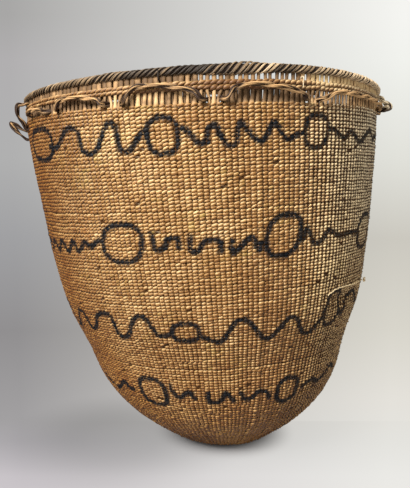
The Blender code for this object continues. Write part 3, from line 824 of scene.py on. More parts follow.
def grains(form, angle, down, radius, halves, slant, tuck, lift, facing):
    """Mesh of grains, the shape of one, and where its points lie: angle, distance down and lift.

    Each is a pointed grain that slants up to the right; its two ends dip into the weave, the left one
    under the row's lower half and the right one under its upper half, as a twined strand's do.
    """
    half_long, half_wide, half_deep = (half[:, None] for half in halves)
    mesh, shape = repeated(form, len(angle))
    long, wide, deep = (shape[None, :, k] for k in range(3))
    rise, run = np.sin(slant)[:, None], np.cos(slant)[:, None]
    sideways = half_long * long * run - half_wide * wide * rise
    upward = half_long * long * rise * 0.85 + half_wide * wide * run
    lifts = lift[:, None] + facing * (half_deep * deep - tuck[:, None] * np.abs(long) ** 1.6)
    across = angle[:, None] + np.degrees(sideways / np.maximum(radius, 2 * MM)[:, None])
    return mesh, (long, wide, deep), (across, down[:, None] - upward, lifts)


def mark_grains(mesh, shape, halves, tone, dye=0.0, crisp=0.0, **others):
    """Writes what the straw's material reads; the crown and upper side of each stitch are painted lighter,
    as lit from above, and its flanks and hollows are painted in shade.
    """
    long, wide, deep = shape
    count, size = len(tone), (len(tone), long.shape[1])
    crisp = np.broadcast_to(crisp, count)[:, None]
    # Painted light: the upper side and crown of each stitch are lighter, as lit from above; where crisp is
    # high, a brighter crown stands against darker flanks
    crown = 0.54 * wide - 0.22 * (deep - 0.55) - 0.05 * long + 0.45 * crisp * (deep + 0.5 * wide - 0.6)
    note(mesh, "tone", np.clip(tone[:, None] + crown, 0, 1))
    # Painted shade in the hollows between the stitches and under the dipping right end of each
    hollow = 0.80 - 1.25 * (0.62 * deep + 0.30 * wide + 0.25 * (1 - np.abs(long)))
    hollow = (hollow + 0.6 * np.clip(long, 0, 1) * np.clip(-wide, 0, 1)) * (0.86 + 0.5 * crisp)
    note(mesh, "hollow", np.broadcast_to(np.clip(hollow, 0, 0.92), size))
    note(mesh, "dye", np.broadcast_to(dye, size))
    for name, values in others.items():
        note(mesh, name, np.broadcast_to(np.clip(values, 0, 1)[:, None], size))
    across = halves[1][:, None] * wide + 0.2 * MM * deep
    fibre = np.broadcast_arrays(halves[0][:, None] * long, across, np.arange(count)[:, None] * SEED_STEP)
    note(mesh, "fibre", np.stack(fibre, axis=-1), "FLOAT_VECTOR")


def stitch_looks(chance, outer, side, height, along, column, line, beads):
    """Tone, greying, soiling and hue of stitches by where they lie on the wall, with painted light and shade
    among them.
    """
    patch = waves(11, side, along, (4, 7, 12, 19), (0.21, 0.13, 0.08, 0.05))
    tone = 0.38 + 0.065 * chance.normal(0, 1, len(side)) + 0.035 * column + 0.025 * line
    tone = tone + 0.12 * patch + 0.06 * beads
    for turn, share, width, reach, amount in WALL_PATCHES:
        tone = tone + amount * swell(side, turn, width) * swell(height, share, reach)
    # Painted light from the side on the upper right; the random patches add some real fading
    faded = ramp(side, 20, 70) * in_view(side) * ramp(height, 0.48, 0.93) * 0.9
    faded = faded + 0.12 * np.clip(patch, 0, 1)
    # Darker and browner towards the foot and the left edge: partly soil, partly painted shade where the
    # light falls off
    edge = ramp(side, -28, -58) * in_view(side)
    soiled = ramp(height, 0.60, 0.10) + 0.9 * edge + 0.15 * np.clip(-patch, 0, 1)
    hue = chance.normal(0, 0.14, len(side))
    hue = hue + 0.55 * waves(12, side, along, (5, 9, 16, 24), (0.13, 0.09, 0.06, 0.035))
    # The inner side is painted darker, as the shade inside the basket
    if not outer:
        tone, soiled = tone - 0.08, soiled + 0.15
    return tone, {"faded": faded, "soiled": soiled, "hue": 0.5 + 0.5 * hue}


def dye_shares(chance, sizes, dyed, centres, across, down):
    """How much of each grain's points is dyed, 0 to 1."""
    tree = KDTree(len(dyed))
    for number, spot in enumerate(dyed):
        tree.insert(spot, number)
    tree.balance()
    near = dye_reach(tree, centres) < 8 * MM
    limit = sizes.line_width / 2 + chance.normal(0, 0.25 * MM, len(centres))
    reach = dye_reach(tree, on_wall(across[near], down[near], 0.0))
    dye = np.zeros(across.shape)
    dye[near] = np.clip((limit[near, None] - reach) / (0.5 * MM) + 0.5, 0, 1)
    dye[near] *= chance.uniform(0.94, 1.0, (near.sum(), 1))
    return dye


def twining(sizes, first, last, outer, dyed=None):
    """Stitches of the wall's outer or inner side, laid row by row."""
    stitches = clear_of_eyelets(stitch_places(sizes, first, last))
    chance = np.random.default_rng(1000 + first + (0 if outer else 500))
    # One stitch in two hundred has worn away
    stitches = stitches[chance.random(len(stitches)) > 0.005]
    row, warp, angle, step, along, tall = stitches.T
    column = np.random.default_rng(7).normal(0, 1, STAKE_COUNT)[warp.astype(int)]
    line = np.random.default_rng(8).normal(0, 1, 400)[row.astype(int)]
    count = len(stitches)
    radius = np.interp(along, PROFILE[0], PROFILE[1])
    height = np.interp(along, PROFILE[0], PROFILE[2]) / WALL_HEIGHT
    side = turned(angle)
    # On the right the stitches stand out like beads, and are painted brighter, with lighter crowns and
    # darker hollows
    beads = ramp(side, 22, 42) * in_view(side)
    long = 0.5 * sizes.stitch_reach * (1 - 0.22 * beads) * radius * np.radians(step)
    wide = sizes.stitch_width / 2 * (1 - 0.12 * beads) * tall / sizes.row_pitch
    halves = (
        long * chance.normal(1, 0.06, count), wide * chance.normal(1, 0.10, count),
        sizes.stitch_depth / 2 * chance.normal(1, 0.08, count),
    )
    slant = sizes.slant * chance.normal(1, 0.20, count) * (1 if outer else -1)
    tuck = sizes.stitch_tuck * (0.7 + 0.3 * ramp(height, 0, 0.35) + 0.5 * beads)
    tuck = tuck * chance.normal(1, 0.10, count)
    lift = (-1.05 if outer else -3.0) + chance.normal(0, 0.16, count)
    lift = (lift + 0.22 * column * (0.5 + swell(side, 8, 30))) * MM
    shift = chance.normal(0, 0.14 * MM, count) + 0.14 * MM * line
    # Finest outside, where it is seen
    around, rings = (4, 4) if first >= FOOT_ROW else (6, 5) if outer else (4, 3)
    mesh, shape, (across, down, lifts) = grains(
        grain_form(around, rings), angle, along + shift, radius, halves, slant, tuck, lift,
        1 if outer else -1,
    )
    laid(mesh, on_wall(across, down, lifts))
    tone, others = stitch_looks(chance, outer, side, height, along, column, line, beads)
    dye = 0.0
    if outer:
        dye = dye_shares(chance, sizes, dyed, on_wall(angle, along + shift, 0.0), across, down)
    mark_grains(mesh, shape, halves, tone, dye, beads, **others)
    return mesh


class BASKET_OT_wall_core(Operator):
    """Warps inside the wall, painted dark as the shade between the stitches"""

    bl_idname = "basket.wall_core"
    bl_label = "Wall core"

    def execute(self, context):
        colours = context.scene.basket_colours
        along = np.append(np.arange(0.4 * MM, WALL_LENGTH - 2 * MM, 5 * MM), WALL_LENGTH - 1 * MM)
        made = bmesh.new()
        # Its outer side lies 1.75 mm in from the wall's face and its inner side 2.75 mm
        sides = ((-1.75, along), (-2.75, along[::-1]))
        section = [made.verts.new((a, 0, lift)) for lift, run in sides for a in run]
        for pair in zip(section, section[1:] + section[:1]):
            made.edges.new(pair)
        steps = 152
        mesh = carried_round(
            "wall_core", made, (0, 360 / steps, 0), steps, lambda x, y, z: on_wall(y, x, z * MM)
        )
        lighter = halfway(colours.crevice, colours.straw_dark, 0.4)
        finish = shaded_fibre("shaded_warps", 400.0, 3.0, colours.crevice, lighter, 0.9, 0.1)
        piece("wall_core", mesh, finish, nodes=("body_wall",))
        return {"FINISHED"}


class BASKET_OT_wall_twining(Operator):
    """Close twining of the wall, outside and inside, with its dyed figures"""

    bl_idname = "basket.wall_twining"
    bl_label = "Wall twining"

    def execute(self, context):
        sizes = context.scene.basket_weave
        straw = twined_straw(context.scene.basket_colours)
        dyed = dyed_points()
        rows = len(row_places(sizes))
        cuts = (0, 18, 36, 54, 72, 90, FOOT_ROW, rows)
        for number, (first, last) in enumerate(zip(cuts, cuts[1:])):
            piece(f"twining_{number + 1}", twining(sizes, first, last, True, dyed), straw)
        cuts = (0, 36, 74, rows)
        for name, first, last in zip(("upper", "middle", "foot"), cuts, cuts[1:]):
            piece(f"inner_twining_{name}", twining(sizes, first, last, False), straw)
        return {"FINISHED"}


def packed_close(side):
    """1 where the warp ends are packed close, and 0 where light falls through between them."""
    return ramp(side, -1, -4) + ramp(side, 26, 28) * ramp(side, 32, 30) + ramp(side, 36, 39)


def warp_tone(chance, side, heights, is_rib):
    """Tone of the warp ends (warp, height)."""
    high = ramp(heights, 362 * MM, 365 * MM)
    low = swell(heights, 354.5 * MM, 4.5 * MM)
    # Painted shade behind the laced cord's bows, in the low band that the bows cover
    bowed = ramp(side, 4, 7) * ramp(side, 33, 29) + ramp(side, -24, -27) * in_view(side)
    bowed = bowed - 0.34 * swell(side, -14, 8)
    # Painted light on the right: the upper openwork is less darkened past 24 degrees, and all is lighter
    # past 37
    pale, beyond = (ramp(side, start, start + 8) * in_view(side) for start in (24, 37))
    tone = 0.44 + 0.13 * chance.normal(0, 1, (len(side), 1)) + 0.35 * is_rib
    tone = tone + 0.08 * chance.normal(0, 1, (len(side), heights.shape[1]))
    tone = tone - low * (0.04 + 0.68 * bowed)
    return tone - (0.22 + 0.14 * packed_close(side) - 0.75 * pale) * high + 0.20 * beyond


class BASKET_OT_warp_ends(Operator):
    """Bare warp ends of the openwork collar"""

    bl_idname = "basket.warp_ends"
    bl_label = "Warp ends"

    def execute(self, context):
        sizes, colours = context.scene.basket_collar, context.scene.basket_colours
        ribs = FRONT_RIBS + BACK_RIBS
        openings = [place for ear in EARS.values() for place, height in ear[:2] if height > WALL_HEIGHT]
        gone = {place % STAKE_COUNT for place in (*openings, *FRONT_ENDS, *BACK_ENDS)}
        places = np.array([place for place in range(STAKE_COUNT) if place not in gone])

        def beside_rib(offset):
            return np.isin(places, [(rib + offset) % STAKE_COUNT for rib in ribs])

        chance = np.random.default_rng(31)
        count = len(places)
        heights, spread = np.transpose(WARP_END_SHAPE)[:, None]
        heights = heights * MM
        sway = np.linspace(0, 1, heights.size)[None]
        lean = chance.normal(0, 0.10, (count, 1)) * sway
        lean = lean + chance.normal(0, 0.08, (count, 1)) * np.sin(np.pi * sway)
        # The warps on both sides of a rib are pressed against it at the foot, where the cord passes
        beside = (beside_rib(-1) * 1.0 - beside_rib(1))[:, None]
        pinch = ramp(heights, 358 * MM, 352 * MM)
        angle = stake_angle(places)[:, None] + (lean + 0.36 * beside * pinch) * STAKE_STEP
        radius = STAKE_RADIUS + chance.normal(0, 0.15 * MM, (count, 1))
        routes = settled(polar(angle, radius, heights))
        side = turned(stake_angle(places))[:, None]
        packed, bright = packed_close(side), ramp(side, 11, 14) * ramp(side, 26, 24)
        width = sizes.warp_width * spread * chance.normal(1, 0.08, (count, 1))
        width = width * (1 + (0.22 - 0.25 * bright + 0.35 * packed) * ramp(heights, 362 * MM, 365 * MM))
        width = width * (1 - 0.32 * abs(beside) * pinch)
        tone = warp_tone(chance, side, heights, beside_rib(0)[:, None])
        outward = polar(angle, 1.0, 0.0)
        meshes = [strands(routes, outward, width, sizes.warp_depth, tone, sides=8, shade=0.55)]
        # Behind the gaps of the lower openwork, and of the upper one where the warps are packed close, stand
        # the warps' second halves, their tone cut to three tenths as painted shade
        side, heights = side[:, 0], heights[0]
        there = ((chance.random(count) > 0.06) | (side < -10)) & np.isin((places + 1) % STAKE_COUNT, places)
        between = beside_rib(-1) | beside_rib(0)
        for behind, reach in (
            (there & ~between, heights < 361 * MM),
            (there & between, abs(heights - 358 * MM) < 4 * MM),
            (there & (packed[:, 0] > 0.5), heights > 362 * MM),
        ):
            middle = stake_angle(places[behind] + 0.5)[:, None]
            routes = settled(polar(middle, STAKE_RADIUS - 1.7 * MM, heights[reach]))
            broad = (4.0 + 1.5 * (side[behind] < -12))[:, None] * MM
            shaded = tone[behind][:, reach] * 0.3
            meshes.append(strands(routes, polar(middle, 1.0, 0.0), broad, 1.4 * MM, shaded))
        # Warps of split root left bare: dry and dull, brown in the shade and pale where light falls
        finish = plain_fibre(
            "split_warp_ends", halfway(colours.warp, colours.crevice, 0.75), colours.warp,
            halfway(colours.warp, colours.straw_light, 0.8), 0.65
        )
        piece("warp_ends", joined(meshes), finish, nodes=("warp_stakes",))
        return {"FINISHED"}


def collar_row(chance, sizes, slant, height, drift, facing):
    """One side of a weft row of the collar."""
    angle = stake_angle(np.arange(STAKE_COUNT))
    side = turned(angle)

    def uneven(middle, spread):
        return chance.normal(middle, spread, STAKE_COUNT)

    halves = (
        0.5 * 1.9 * STAKE_RADIUS * math.radians(STAKE_STEP) * uneven(1, 0.06),
        sizes.weft_strand / 2 * uneven(1, 0.10),
        1.15 * MM * uneven(1, 0.10),
    )
    slant = facing * slant * uneven(0.9, 0.15)
    lift = (facing * 1.45 + uneven(0, 0.15)) * MM
    radius, tuck = np.full((2, STAKE_COUNT), ((STAKE_RADIUS,), (1.3 * MM,)))
    mesh, shape, (across, down, lifts) = grains(
        grain_form(6, 6), angle, -drift * MM, radius, halves, slant, tuck, lift, facing
    )
    laid(mesh, settled(polar(across, STAKE_RADIUS + lifts, height - down)))
    # Darker round 10 degrees right of the front; painted light on the right side, which also greys it
    tone = 0.42 + 0.10 * uneven(0, 1) - 0.50 * swell(side, 10, 12)
    tone = tone + 0.20 * ramp(side, 24, 36) * in_view(side)
    faded = 0.2 + 0.5 * ramp(side, 20, 55) * in_view(side)
    soiled, hue = np.full(STAKE_COUNT, 0.45), 0.5 + uneven(0, 0.08)
    mark_grains(mesh, shape, halves, tone, faded=faded, soiled=soiled, hue=hue)
    return mesh


class BASKET_OT_collar_rows(Operator):
    """Twined weft rows that clasp the bare warp ends"""

    bl_idname = "basket.collar_rows"
    bl_label = "Collar rows"

    def execute(self, context):
        sizes, slant = context.scene.basket_collar, context.scene.basket_weave.slant
        finish = twined_straw(context.scene.basket_colours)
        chance = np.random.default_rng(61)
        every_second = np.arange(0, STAKE_COUNT + 2, 2)
        for row, height in (("lower", LOWER_WEFT), ("upper", UPPER_WEFT)):
            drift = chance.normal(0, 0.25, len(every_second))
            drift = np.interp(np.arange(STAKE_COUNT), every_second, drift)
            meshes = [collar_row(chance, sizes, slant, height, drift, facing) for facing in (1, -1)]
            nodes = (f"collar_weft_{row}_outer", f"collar_weft_{row}_inner")
            piece(f"collar_row_{row}", joined(meshes), finish, nodes=nodes)
        return {"FINISHED"}


def braid_swell(side):
    """How much the border bulges upwards and downwards where its ends overlap."""
    up = 1 + 0.42 * swell(side, 8, 3.4) + 0.22 * swell(side, -25.4, 3.0)
    return up, 1 + 0.55 * swell(side, 9, 8.0, 4)


def border_strand(chance, sizes, half, strand, bundle):
    """One strand of every bundle, over the border's outer half (1) or inner half (-1)."""
    rings = 9
    start = stake_angle(np.arange(STAKE_COUNT))[:, None]
    side = turned(start + 1.5)
    swell_up, swell_down = braid_swell(side)
    sweep = np.linspace(0, 1, rings)[None]
    swing = -84 + 200 * sweep + chance.normal(0, 5, (STAKE_COUNT, 1)) + 4 * strand
    travel = sweep**0.9 * sizes.border_run * (1 + 0.05 * bundle)
    travel = travel + strand * 0.85 * sizes.border_strand + chance.normal(0, 0.12 * MM, (STAKE_COUNT, 1))
    angle = start + np.degrees(travel / STAKE_RADIUS)
    proud = 0.92 + 0.14 * np.sin(np.pi * sweep) - 0.03 * abs(strand) + 0.03 * bundle * sweep
    proud = proud + chance.normal(0, 0.02, (STAKE_COUNT, 1))
    across = (BRAID_DEPTH / 2 - 0.5 * MM) * proud * np.cos(np.radians(swing))
    up = np.sin(np.radians(swing))
    rise = (BRAID_HEIGHT / 2 - 0.4 * MM) * proud * up * np.where(up > 0, swell_up, swell_down)
    routes = settled(polar(angle, STAKE_RADIUS + half * across, BRAID_MIDDLE + rise))
    middle = settled(polar(angle, STAKE_RADIUS, BRAID_MIDDLE))
    # Darker strands near the front and a yellowish patch near 15 degrees; painted light on the right side,
    # and each strand painted darker towards its ends, as the shade where it dives under
    dark = swell(side, -3.7, 4.3, 4) + 0.30 * swell(side, -14, 5)
    light = 1.7 * swell(side, 15.5, 2.8) + 3.0 * ramp(side, 24, 52) * in_view(side)
    tone = 0.47 + 0.04 * bundle + 0.11 * chance.normal(0, 1, (STAKE_COUNT, 1)) - 1.0 * dark + 0.25 * light
    tone = tone - 0.20 * abs(2 * sweep - 1) ** 2
    taper = np.sin(np.linspace(0.2, np.pi - 0.2, rings))[None] ** 0.5
    width = sizes.border_strand * taper * chance.normal(1, 0.10, (STAKE_COUNT, 1))
    return strands(routes, routes - middle, width, width, tone, sides=5, shade=0.5)


def border_core():
    """The shaded inside of the braid, as one ring."""
    made = bmesh.new()
    bmesh.ops.create_circle(made, segments=10, radius=1.0)
    steps = 180

    def placed(x, y, z):
        angle = z * 360 / steps
        rise = y * (BRAID_HEIGHT / 2 - 1.2 * MM)
        rise = rise * np.where(rise > 0, *braid_swell(turned(angle)))
        return settled(polar(angle, STAKE_RADIUS + x * (BRAID_DEPTH / 2 - 1.3 * MM), BRAID_MIDDLE + rise))

    return carried_round("border_core", made, (0, 0, 1), steps, placed)


class BASKET_OT_border(Operator):
    """Braided border over the warp ends"""

    bl_idname = "basket.border"
    bl_label = "Braided border"

    def execute(self, context):
        sizes, colours = context.scene.basket_collar, context.scene.basket_colours
        chance = np.random.default_rng(51)
        meshes = []
        for half in (1, -1):
            bundle = chance.normal(0, 1, (STAKE_COUNT, 1))
            meshes += [border_strand(chance, sizes, half, strand, bundle) for strand in (-1, 0, 1)]
        # Old root braided by hand, with a faint sheen: painted dark in the hollows and pale on the crowns,
        # as shade and light fall on it
        worn = halfway(colours.border_light, colours.straw_mid)
        finish = plain_fibre(
            "braided_root_border", halfway(colours.border_dark, colours.border_light, 0.04),
            halfway(colours.border_dark, worn, 0.44), colours.border_light, 0.55, 0.55
        )
        piece("border_braid", joined(meshes), finish, nodes=("rim_braid",))
        # A dark ring inside the braid, painted as the shade between its strands
        hollows = shaded_fibre("border_hollows", 500.0, 2.0, colours.border_dark, colours.crevice, 0.85, 0.5)
        piece("border_core", border_core(), hollows)
        return {"FINISHED"}


def cord_route(ends, ribs, rises):
    """Middle line of a length of laced cord, behind each rib and in a bow to the next, and its tone."""
    passage = ((-RIB_CROSSING, STAKE_RADIUS), (0.0, CORD_INNER - BEHIND_RIB), (RIB_CROSSING, STAKE_RADIUS))
    stops = [ends[0], *ribs, ends[1]]
    route = [polar(stake_angle(ends[0]), radius, PASS_HEIGHT) for radius in (CORD_INNER, STAKE_RADIUS)]
    for here, there, top in zip(stops, stops[1:], rises):
        lead_first, lead_second = (END_LEAD if stop in ends else RIB_LEAD for stop in (here, there))
        start = stake_angle(here) + math.degrees(lead_first / STAKE_RADIUS)
        end = stake_angle(there) - math.degrees(lead_second / STAKE_RADIUS)
        for share, rise in SCALLOP_SHAPE:
            route.append(polar(start + (end - start) * share, CORD_OUTER, PASS_HEIGHT + rise * top))
        if there != ends[1]:
            turn = np.radians(stake_angle(there))
            sideways = np.array((np.cos(turn), np.sin(turn), 0))
            route += [polar(stake_angle(there), radius, PASS_HEIGHT) + sideways * x for x, radius in passage]
    route += [polar(stake_angle(ends[1]), radius, PASS_HEIGHT) for radius in (STAKE_RADIUS, CORD_INNER)]
    route = smooth_route(route, 8)
    # Darker where it dives behind a rib and where it climbs steeply: partly grease, partly painted shade
    inside = ramp(np.hypot(route[:, 0], route[:, 1]), CORD_OUTER, CORD_OUTER - 4 * MM)
    steep = np.gradient(route[:, 2]) / np.maximum(np.linalg.norm(np.gradient(route, axis=0), axis=1), 1e-6)
    side = np.degrees(np.arctan2(route[:, 0], -route[:, 1]))
    places = (-46, -42, -24, -20, 2, 6, 28, 34)
    bare = np.interp(side, places, (0.70, 0.76, 0.78, 0.62, 0.62, 0.72, 0.72, 0.98))
    return settled(route), bare - 0.50 * inside - 0.50 * np.clip(np.abs(steep) / 0.6 - 0.2, 0, 1)


def from_axis(route):
    """Direction away from the basket's upright axis."""
    away = route - np.array((RIM_LEAN, 0, 0))
    away[..., 2] = 0
    return unit(away)


def cord_finish(colours):
    """Two plies of root twisted by hand: dull brown, with painted shade darkening the grooves between the
    strands.
    """
    return plain_fibre(
        "twisted_root_cord", colours.cord_dark, halfway(colours.cord_dark, colours.cord_light),
        colours.cord_light, 0.6, 0.8
    )


class BASKET_OT_laced_cord(Operator):
    """Twisted cord laced in and out through the collar"""

    bl_idname = "basket.laced_cord"
    bl_label = "Laced cord"

    def execute(self, context):
        sizes, colours = context.scene.basket_collar, context.scene.basket_colours
        finish = cord_finish(colours)
        lengths = (
            ("front", FRONT_ENDS, FRONT_RIBS, FRONT_RISES), ("back", BACK_ENDS, BACK_RIBS, BACK_RISES)
        )
        for seed, (name, ends, ribs, rises) in enumerate(lengths):
            route, tone = cord_route(ends, ribs, rises)
            mesh = twisted(route, from_axis, sizes.cord_width, sizes.cord_lay, tone, seed)
            piece(f"laced_cord_{name}", mesh, finish, nodes=(f"lacing_cord_{name}",))
        return {"FINISHED"}


def ear_route(ear, slack):
    """Middle line of an ear's ring of cord; less slack than 1 draws its bow together."""
    *ends, cord, reach, lift, spread = ear
    upper, lower = (polar(stake_angle(place), STAKE_RADIUS, height) for place, height in ends)
    middle = (upper + lower) / 2
    half = np.linalg.norm(upper - lower) / 2
    rise = unit(upper - lower)
    outward = unit(middle * np.array((1, 1, 0)))
    bow = spread * slack * half
    outline = (
        (-0.62 * EAR_INNER_REACH, half),
        (0.0, half),
        (EAR_STUB, half),
        (0.50 * reach, 0.45 * lift + 0.25 * half + 0.78 * bow),
        (0.82 * reach, 0.90 * lift + 0.80 * bow),
        (reach - cord / 2, lift),
        (0.80 * reach, 0.70 * lift - 0.86 * bow),
        (0.46 * reach, 0.25 * lift - 0.35 * half - 0.65 * bow),
        (EAR_STUB, -half),
        (0.0, -half),
        (-0.62 * EAR_INNER_REACH, -half),
        (-EAR_INNER_REACH, -half + EAR_INNER_BEND),
        (-EAR_INNER_REACH, half - EAR_INNER_BEND),
    )
    route = [middle + outward * across + rise * up for across, up in outline]
    return settled(smooth_route(route, 8, closed=True)), np.cross(outward, rise)


class BASKET_OT_ears(Operator):
    """Rings of cord that swing in the wall and the collar"""

    bl_idname = "basket.ears"
    bl_label = "Cord ears"

    def execute(self, context):
        colours = context.scene.basket_colours
        smooth = cord_finish(colours)
        # The same cord bleached paler; its crowns stand pale against the painted shade in its grooves
        bleached = plain_fibre(
            "bleached_root_cord", colours.cord_dark, halfway(colours.cord_dark, colours.thread),
            colours.thread, 0.6, 0.7
        )
        # Slack, outer width and lay in mm, tone and its rise to the top, and the shares of the reach where
        # it widens; the rise paints light on the top of a ring and shade below
        looks = {
            "ear_left_upper": (1.0, 4.9, 34, 0.30, 0.35, (0.15, 0.55)),
            "ear_left_lower": (0.5, 4.9, 34, 0.30, 0.35, (0.50, 0.85)),
            "ear_right": (0.5, 6.4, 18, 0.55, 1.00, (0.32, 0.60)),
        }
        for name, ear in EARS.items():
            slack, outer, lay, bare, rise, widens = looks[name]
            finish = bleached if name == "ear_right" else smooth
            route, facing = ear_route(ear, slack)
            # Thick and stiff outside, worn thin where it passes through the weave
            out = np.linalg.norm(route[:, :2] - route[0, :2], axis=1) / ear[3]
            width = np.interp(out, widens, (3.1 * MM, outer * MM))
            # Painted light on the top of each ring and painted shade under it
            middle = (route[:, 2] - route[:, 2].mean()) / np.ptp(route[:, 2])
            mesh = twisted(route, facing, width, lay * MM, bare + rise * middle, len(name), closed=True)
            piece(f"{name}_ring", mesh, finish, body=name, nodes=(name,))
        return {"FINISHED"}


def knotted(centre, radial, size):
    """Route of a simple knot round a point on the wall."""
    turn = np.linspace(0, 2 * np.pi, 49)
    sideways = np.array((-radial[1], radial[0], 0))
    knot = (
        np.outer(np.sin(turn) + 2 * np.sin(2 * turn), sideways)
        + np.outer(np.cos(turn) - 2 * np.cos(2 * turn), (0, 0, 1))
        + np.outer(-np.sin(3 * turn), radial)
    )
    return centre + knot * size * 0.26


class BASKET_OT_mend(Operator):
    """Thread drawn across the wall, with its knot"""

    bl_idname = "basket.mend"
    bl_label = "Mend"

    def execute(self, context):
        colours = context.scene.basket_colours
        # Split straw twisted into a thin thread: pale and matte against the browner wall
        finish = plain_fibre(
            "mending_thread", halfway(colours.thread, colours.crevice, 0.6), colours.thread,
            halfway(colours.thread, colours.straw_light, 0.6), 0.7
        )
        route = [(angle, along_of(share * WALL_HEIGHT), 1.0 * MM) for angle, share in MEND_ROUTE]
        world = settled(wall_point(*smooth_route(route, 10).T))
        mesh = twisted(world, from_axis, MEND_DIAMETER, 7.0 * MM, 1.2, 4, threads=1)
        piece("mend_thread", mesh, finish, nodes=("mend_strand",))
        angle, share = MEND_ROUTE[-1]
        size = MEND_KNOT_DIAMETER / 2
        wall_radius = 165 * MM
        past = angle + math.degrees((0.3 * MM + size) / wall_radius)
        centre = settled(wall_point(past, along_of(share * WALL_HEIGHT), 0.35 * MM + size))
        radial = from_axis(centre)
        knot = strands(knotted(centre, radial, size)[None], radial, 1.3 * MM, 1.3 * MM, 0.6)
        piece("mend_knot_tied", knot, finish, nodes=("mend_knot",))
        return {"FINISHED"}


class BASKET_OT_loose_ends(Operator):
    """Loose ends of fibre at the collar"""

    bl_idname = "basket.loose_ends"
    bl_label = "Loose ends"

    def execute(self, context):
        colours = context.scene.basket_colours
        # Ends of split straw, dull and greyed
        light = plain_fibre(
            "loose_fibre", halfway(colours.thread, colours.crevice, 0.7),
            halfway(colours.thread, colours.crevice, 0.25), colours.thread, 0.7
        )
        # Ends of the border's root, almost as dark as its hollows
        dark = plain_fibre(
            "dark_loose_fibre", colours.border_dark, colours.border_dark,
            halfway(colours.border_dark, colours.border_light), 0.7
        )
        room = 0.95 * MM
        over_braid = STAKE_RADIUS + 0.5 * BRAID_DEPTH
        outside = 188.2 * MM + room
        turns = {
            "tie_left": (
                (STAKE_RADIUS, UPPER_PASS), (over_braid, UPPER_PASS),
                (over_braid + room, BRAID_BOTTOM + 0.36 * BRAID_HEIGHT),
                (over_braid + room, BRAID_BOTTOM + 0.62 * BRAID_HEIGHT),
            ),
            "tie_right": (
                (STAKE_RADIUS, UPPER_PASS), (outside - 0.2 * room, UPPER_PASS),
                (outside, WEFT_TOP - 2 * MM), (outside, LOWER_WEFT - 1 * MM),
            ),
        }
        for name, finish, thick in (("tie_left", dark, 1.0), ("tie_right", light, 0.8)):
            angle = stake_angle(TIE_PLACES[name])
            route = smooth_route([polar(angle, radius, height) for radius, height in turns[name]], 6)
            taper = np.linspace(1.0, 0.55, len(route))[None] * thick
            outward = polar(angle + 90, 1.0, 0.0)
            mesh = strands(settled(route)[None], outward, 1.8 * MM * taper, 1.4 * MM * taper, 0.5)
            piece(f"{name}_end", mesh, finish, nodes=(name,))
        return {"FINISHED"}


def eased(tree, value, low, high, start=0.0, end=1.0):
    """A value between two limits, spread over another span and eased at both its ends."""
    inputs = {"Value": value, "From Min": low, "From Max": high, "To Min": start, "To Max": end}
    return add_node(tree, "MapRange", inputs, interpolation_type="SMOOTHSTEP")


def paper_tones(tree, from_eye):
    """The paper's painted tones of light by where it lies in the camera's view."""
    axes = add_node(tree, "SeparateXYZ", {"Vector": from_eye})
    across, climb = (
        add_node(tree, "Math", {0: axes.outputs[name], 1: axes.outputs["Y"]}, operation="DIVIDE")
        for name in ("X", "Z")
    )
    # From the floor, 0, to the top of the picture, 1
    climb = add_node(tree, "MapRange", {"Value": climb, "From Min": -0.54, "From Max": 0.30})
    across = add_node(tree, "MapRange", {"Value": across, "From Min": -0.34, "From Max": 0.34})
    sides = []
    for tones in (PAPER_LEFT, PAPER_RIGHT):
        sides.append(add_node(tree, "ValToRGB", {"Fac": climb}))
        set_stops(sides[-1], [(position, linear(code)) for position, code in tones])
    return mixed_colour(tree, across, *sides), axes.outputs["Y"]


def seamless_paper(colours):
    """Matte seamless paper, painted dim on the left and bright on the right, as light falls on it.

    To the camera the paper behind the basket glows in these painted tones, and so, for the most part, does
    the floor away from the foot; close round the foot the floor takes the lamps and the basket's shadow.
    """
    made, tree, shader = new_material("seamless_paper")
    place = add_node(tree, "TexCoord").outputs["Object"]
    from_eye = add_node(tree, "VectorMath", {0: place, 1: CAMERA_PLACE}, operation="SUBTRACT")
    seen, distance = paper_tones(tree, from_eye)
    # Painted soft shadow of the basket on the left
    left = add_node(tree, "VectorMath", {0: place, 1: (-0.12, -0.02, 0)}, operation="DISTANCE")
    shade = eased(tree, left.outputs["Value"], 0.04, 0.15, 0.74, 1.0)
    seen = mixed_colour(tree, 1.0, seen, shade, "MULTIPLY")
    floor = mixed_colour(tree, 1.0, colours.paper, seen, "MULTIPLY")
    feed(tree, shader, {"Base Color": floor, "Roughness": 0.9, "Specular IOR Level": 0.1})
    behind = eased(tree, distance, 0.632, 0.662)
    # The floor glows for the camera away from the foot, so the lamps' shadow shows only close round it
    away = add_node(tree, "VectorMath", {0: place}, operation="LENGTH")
    clear = eased(tree, away.outputs["Value"], 0.036, 0.085, 0.0, 0.94)
    shown = add_node(tree, "Math", {0: clear, 1: behind}, operation="MAXIMUM")
    ray = add_node(tree, "LightPath").outputs["Is Camera Ray"]
    amount = add_node(tree, "Math", {0: ray, 1: shown}, operation="MULTIPLY")
    glow = add_node(tree, "Emission", {"Color": seen})
    both = add_node(tree, "MixShader", {0: amount, 1: shader, 2: glow})
    feed(tree, tree.get_output_node("ALL"), {"Surface": both})
    return made


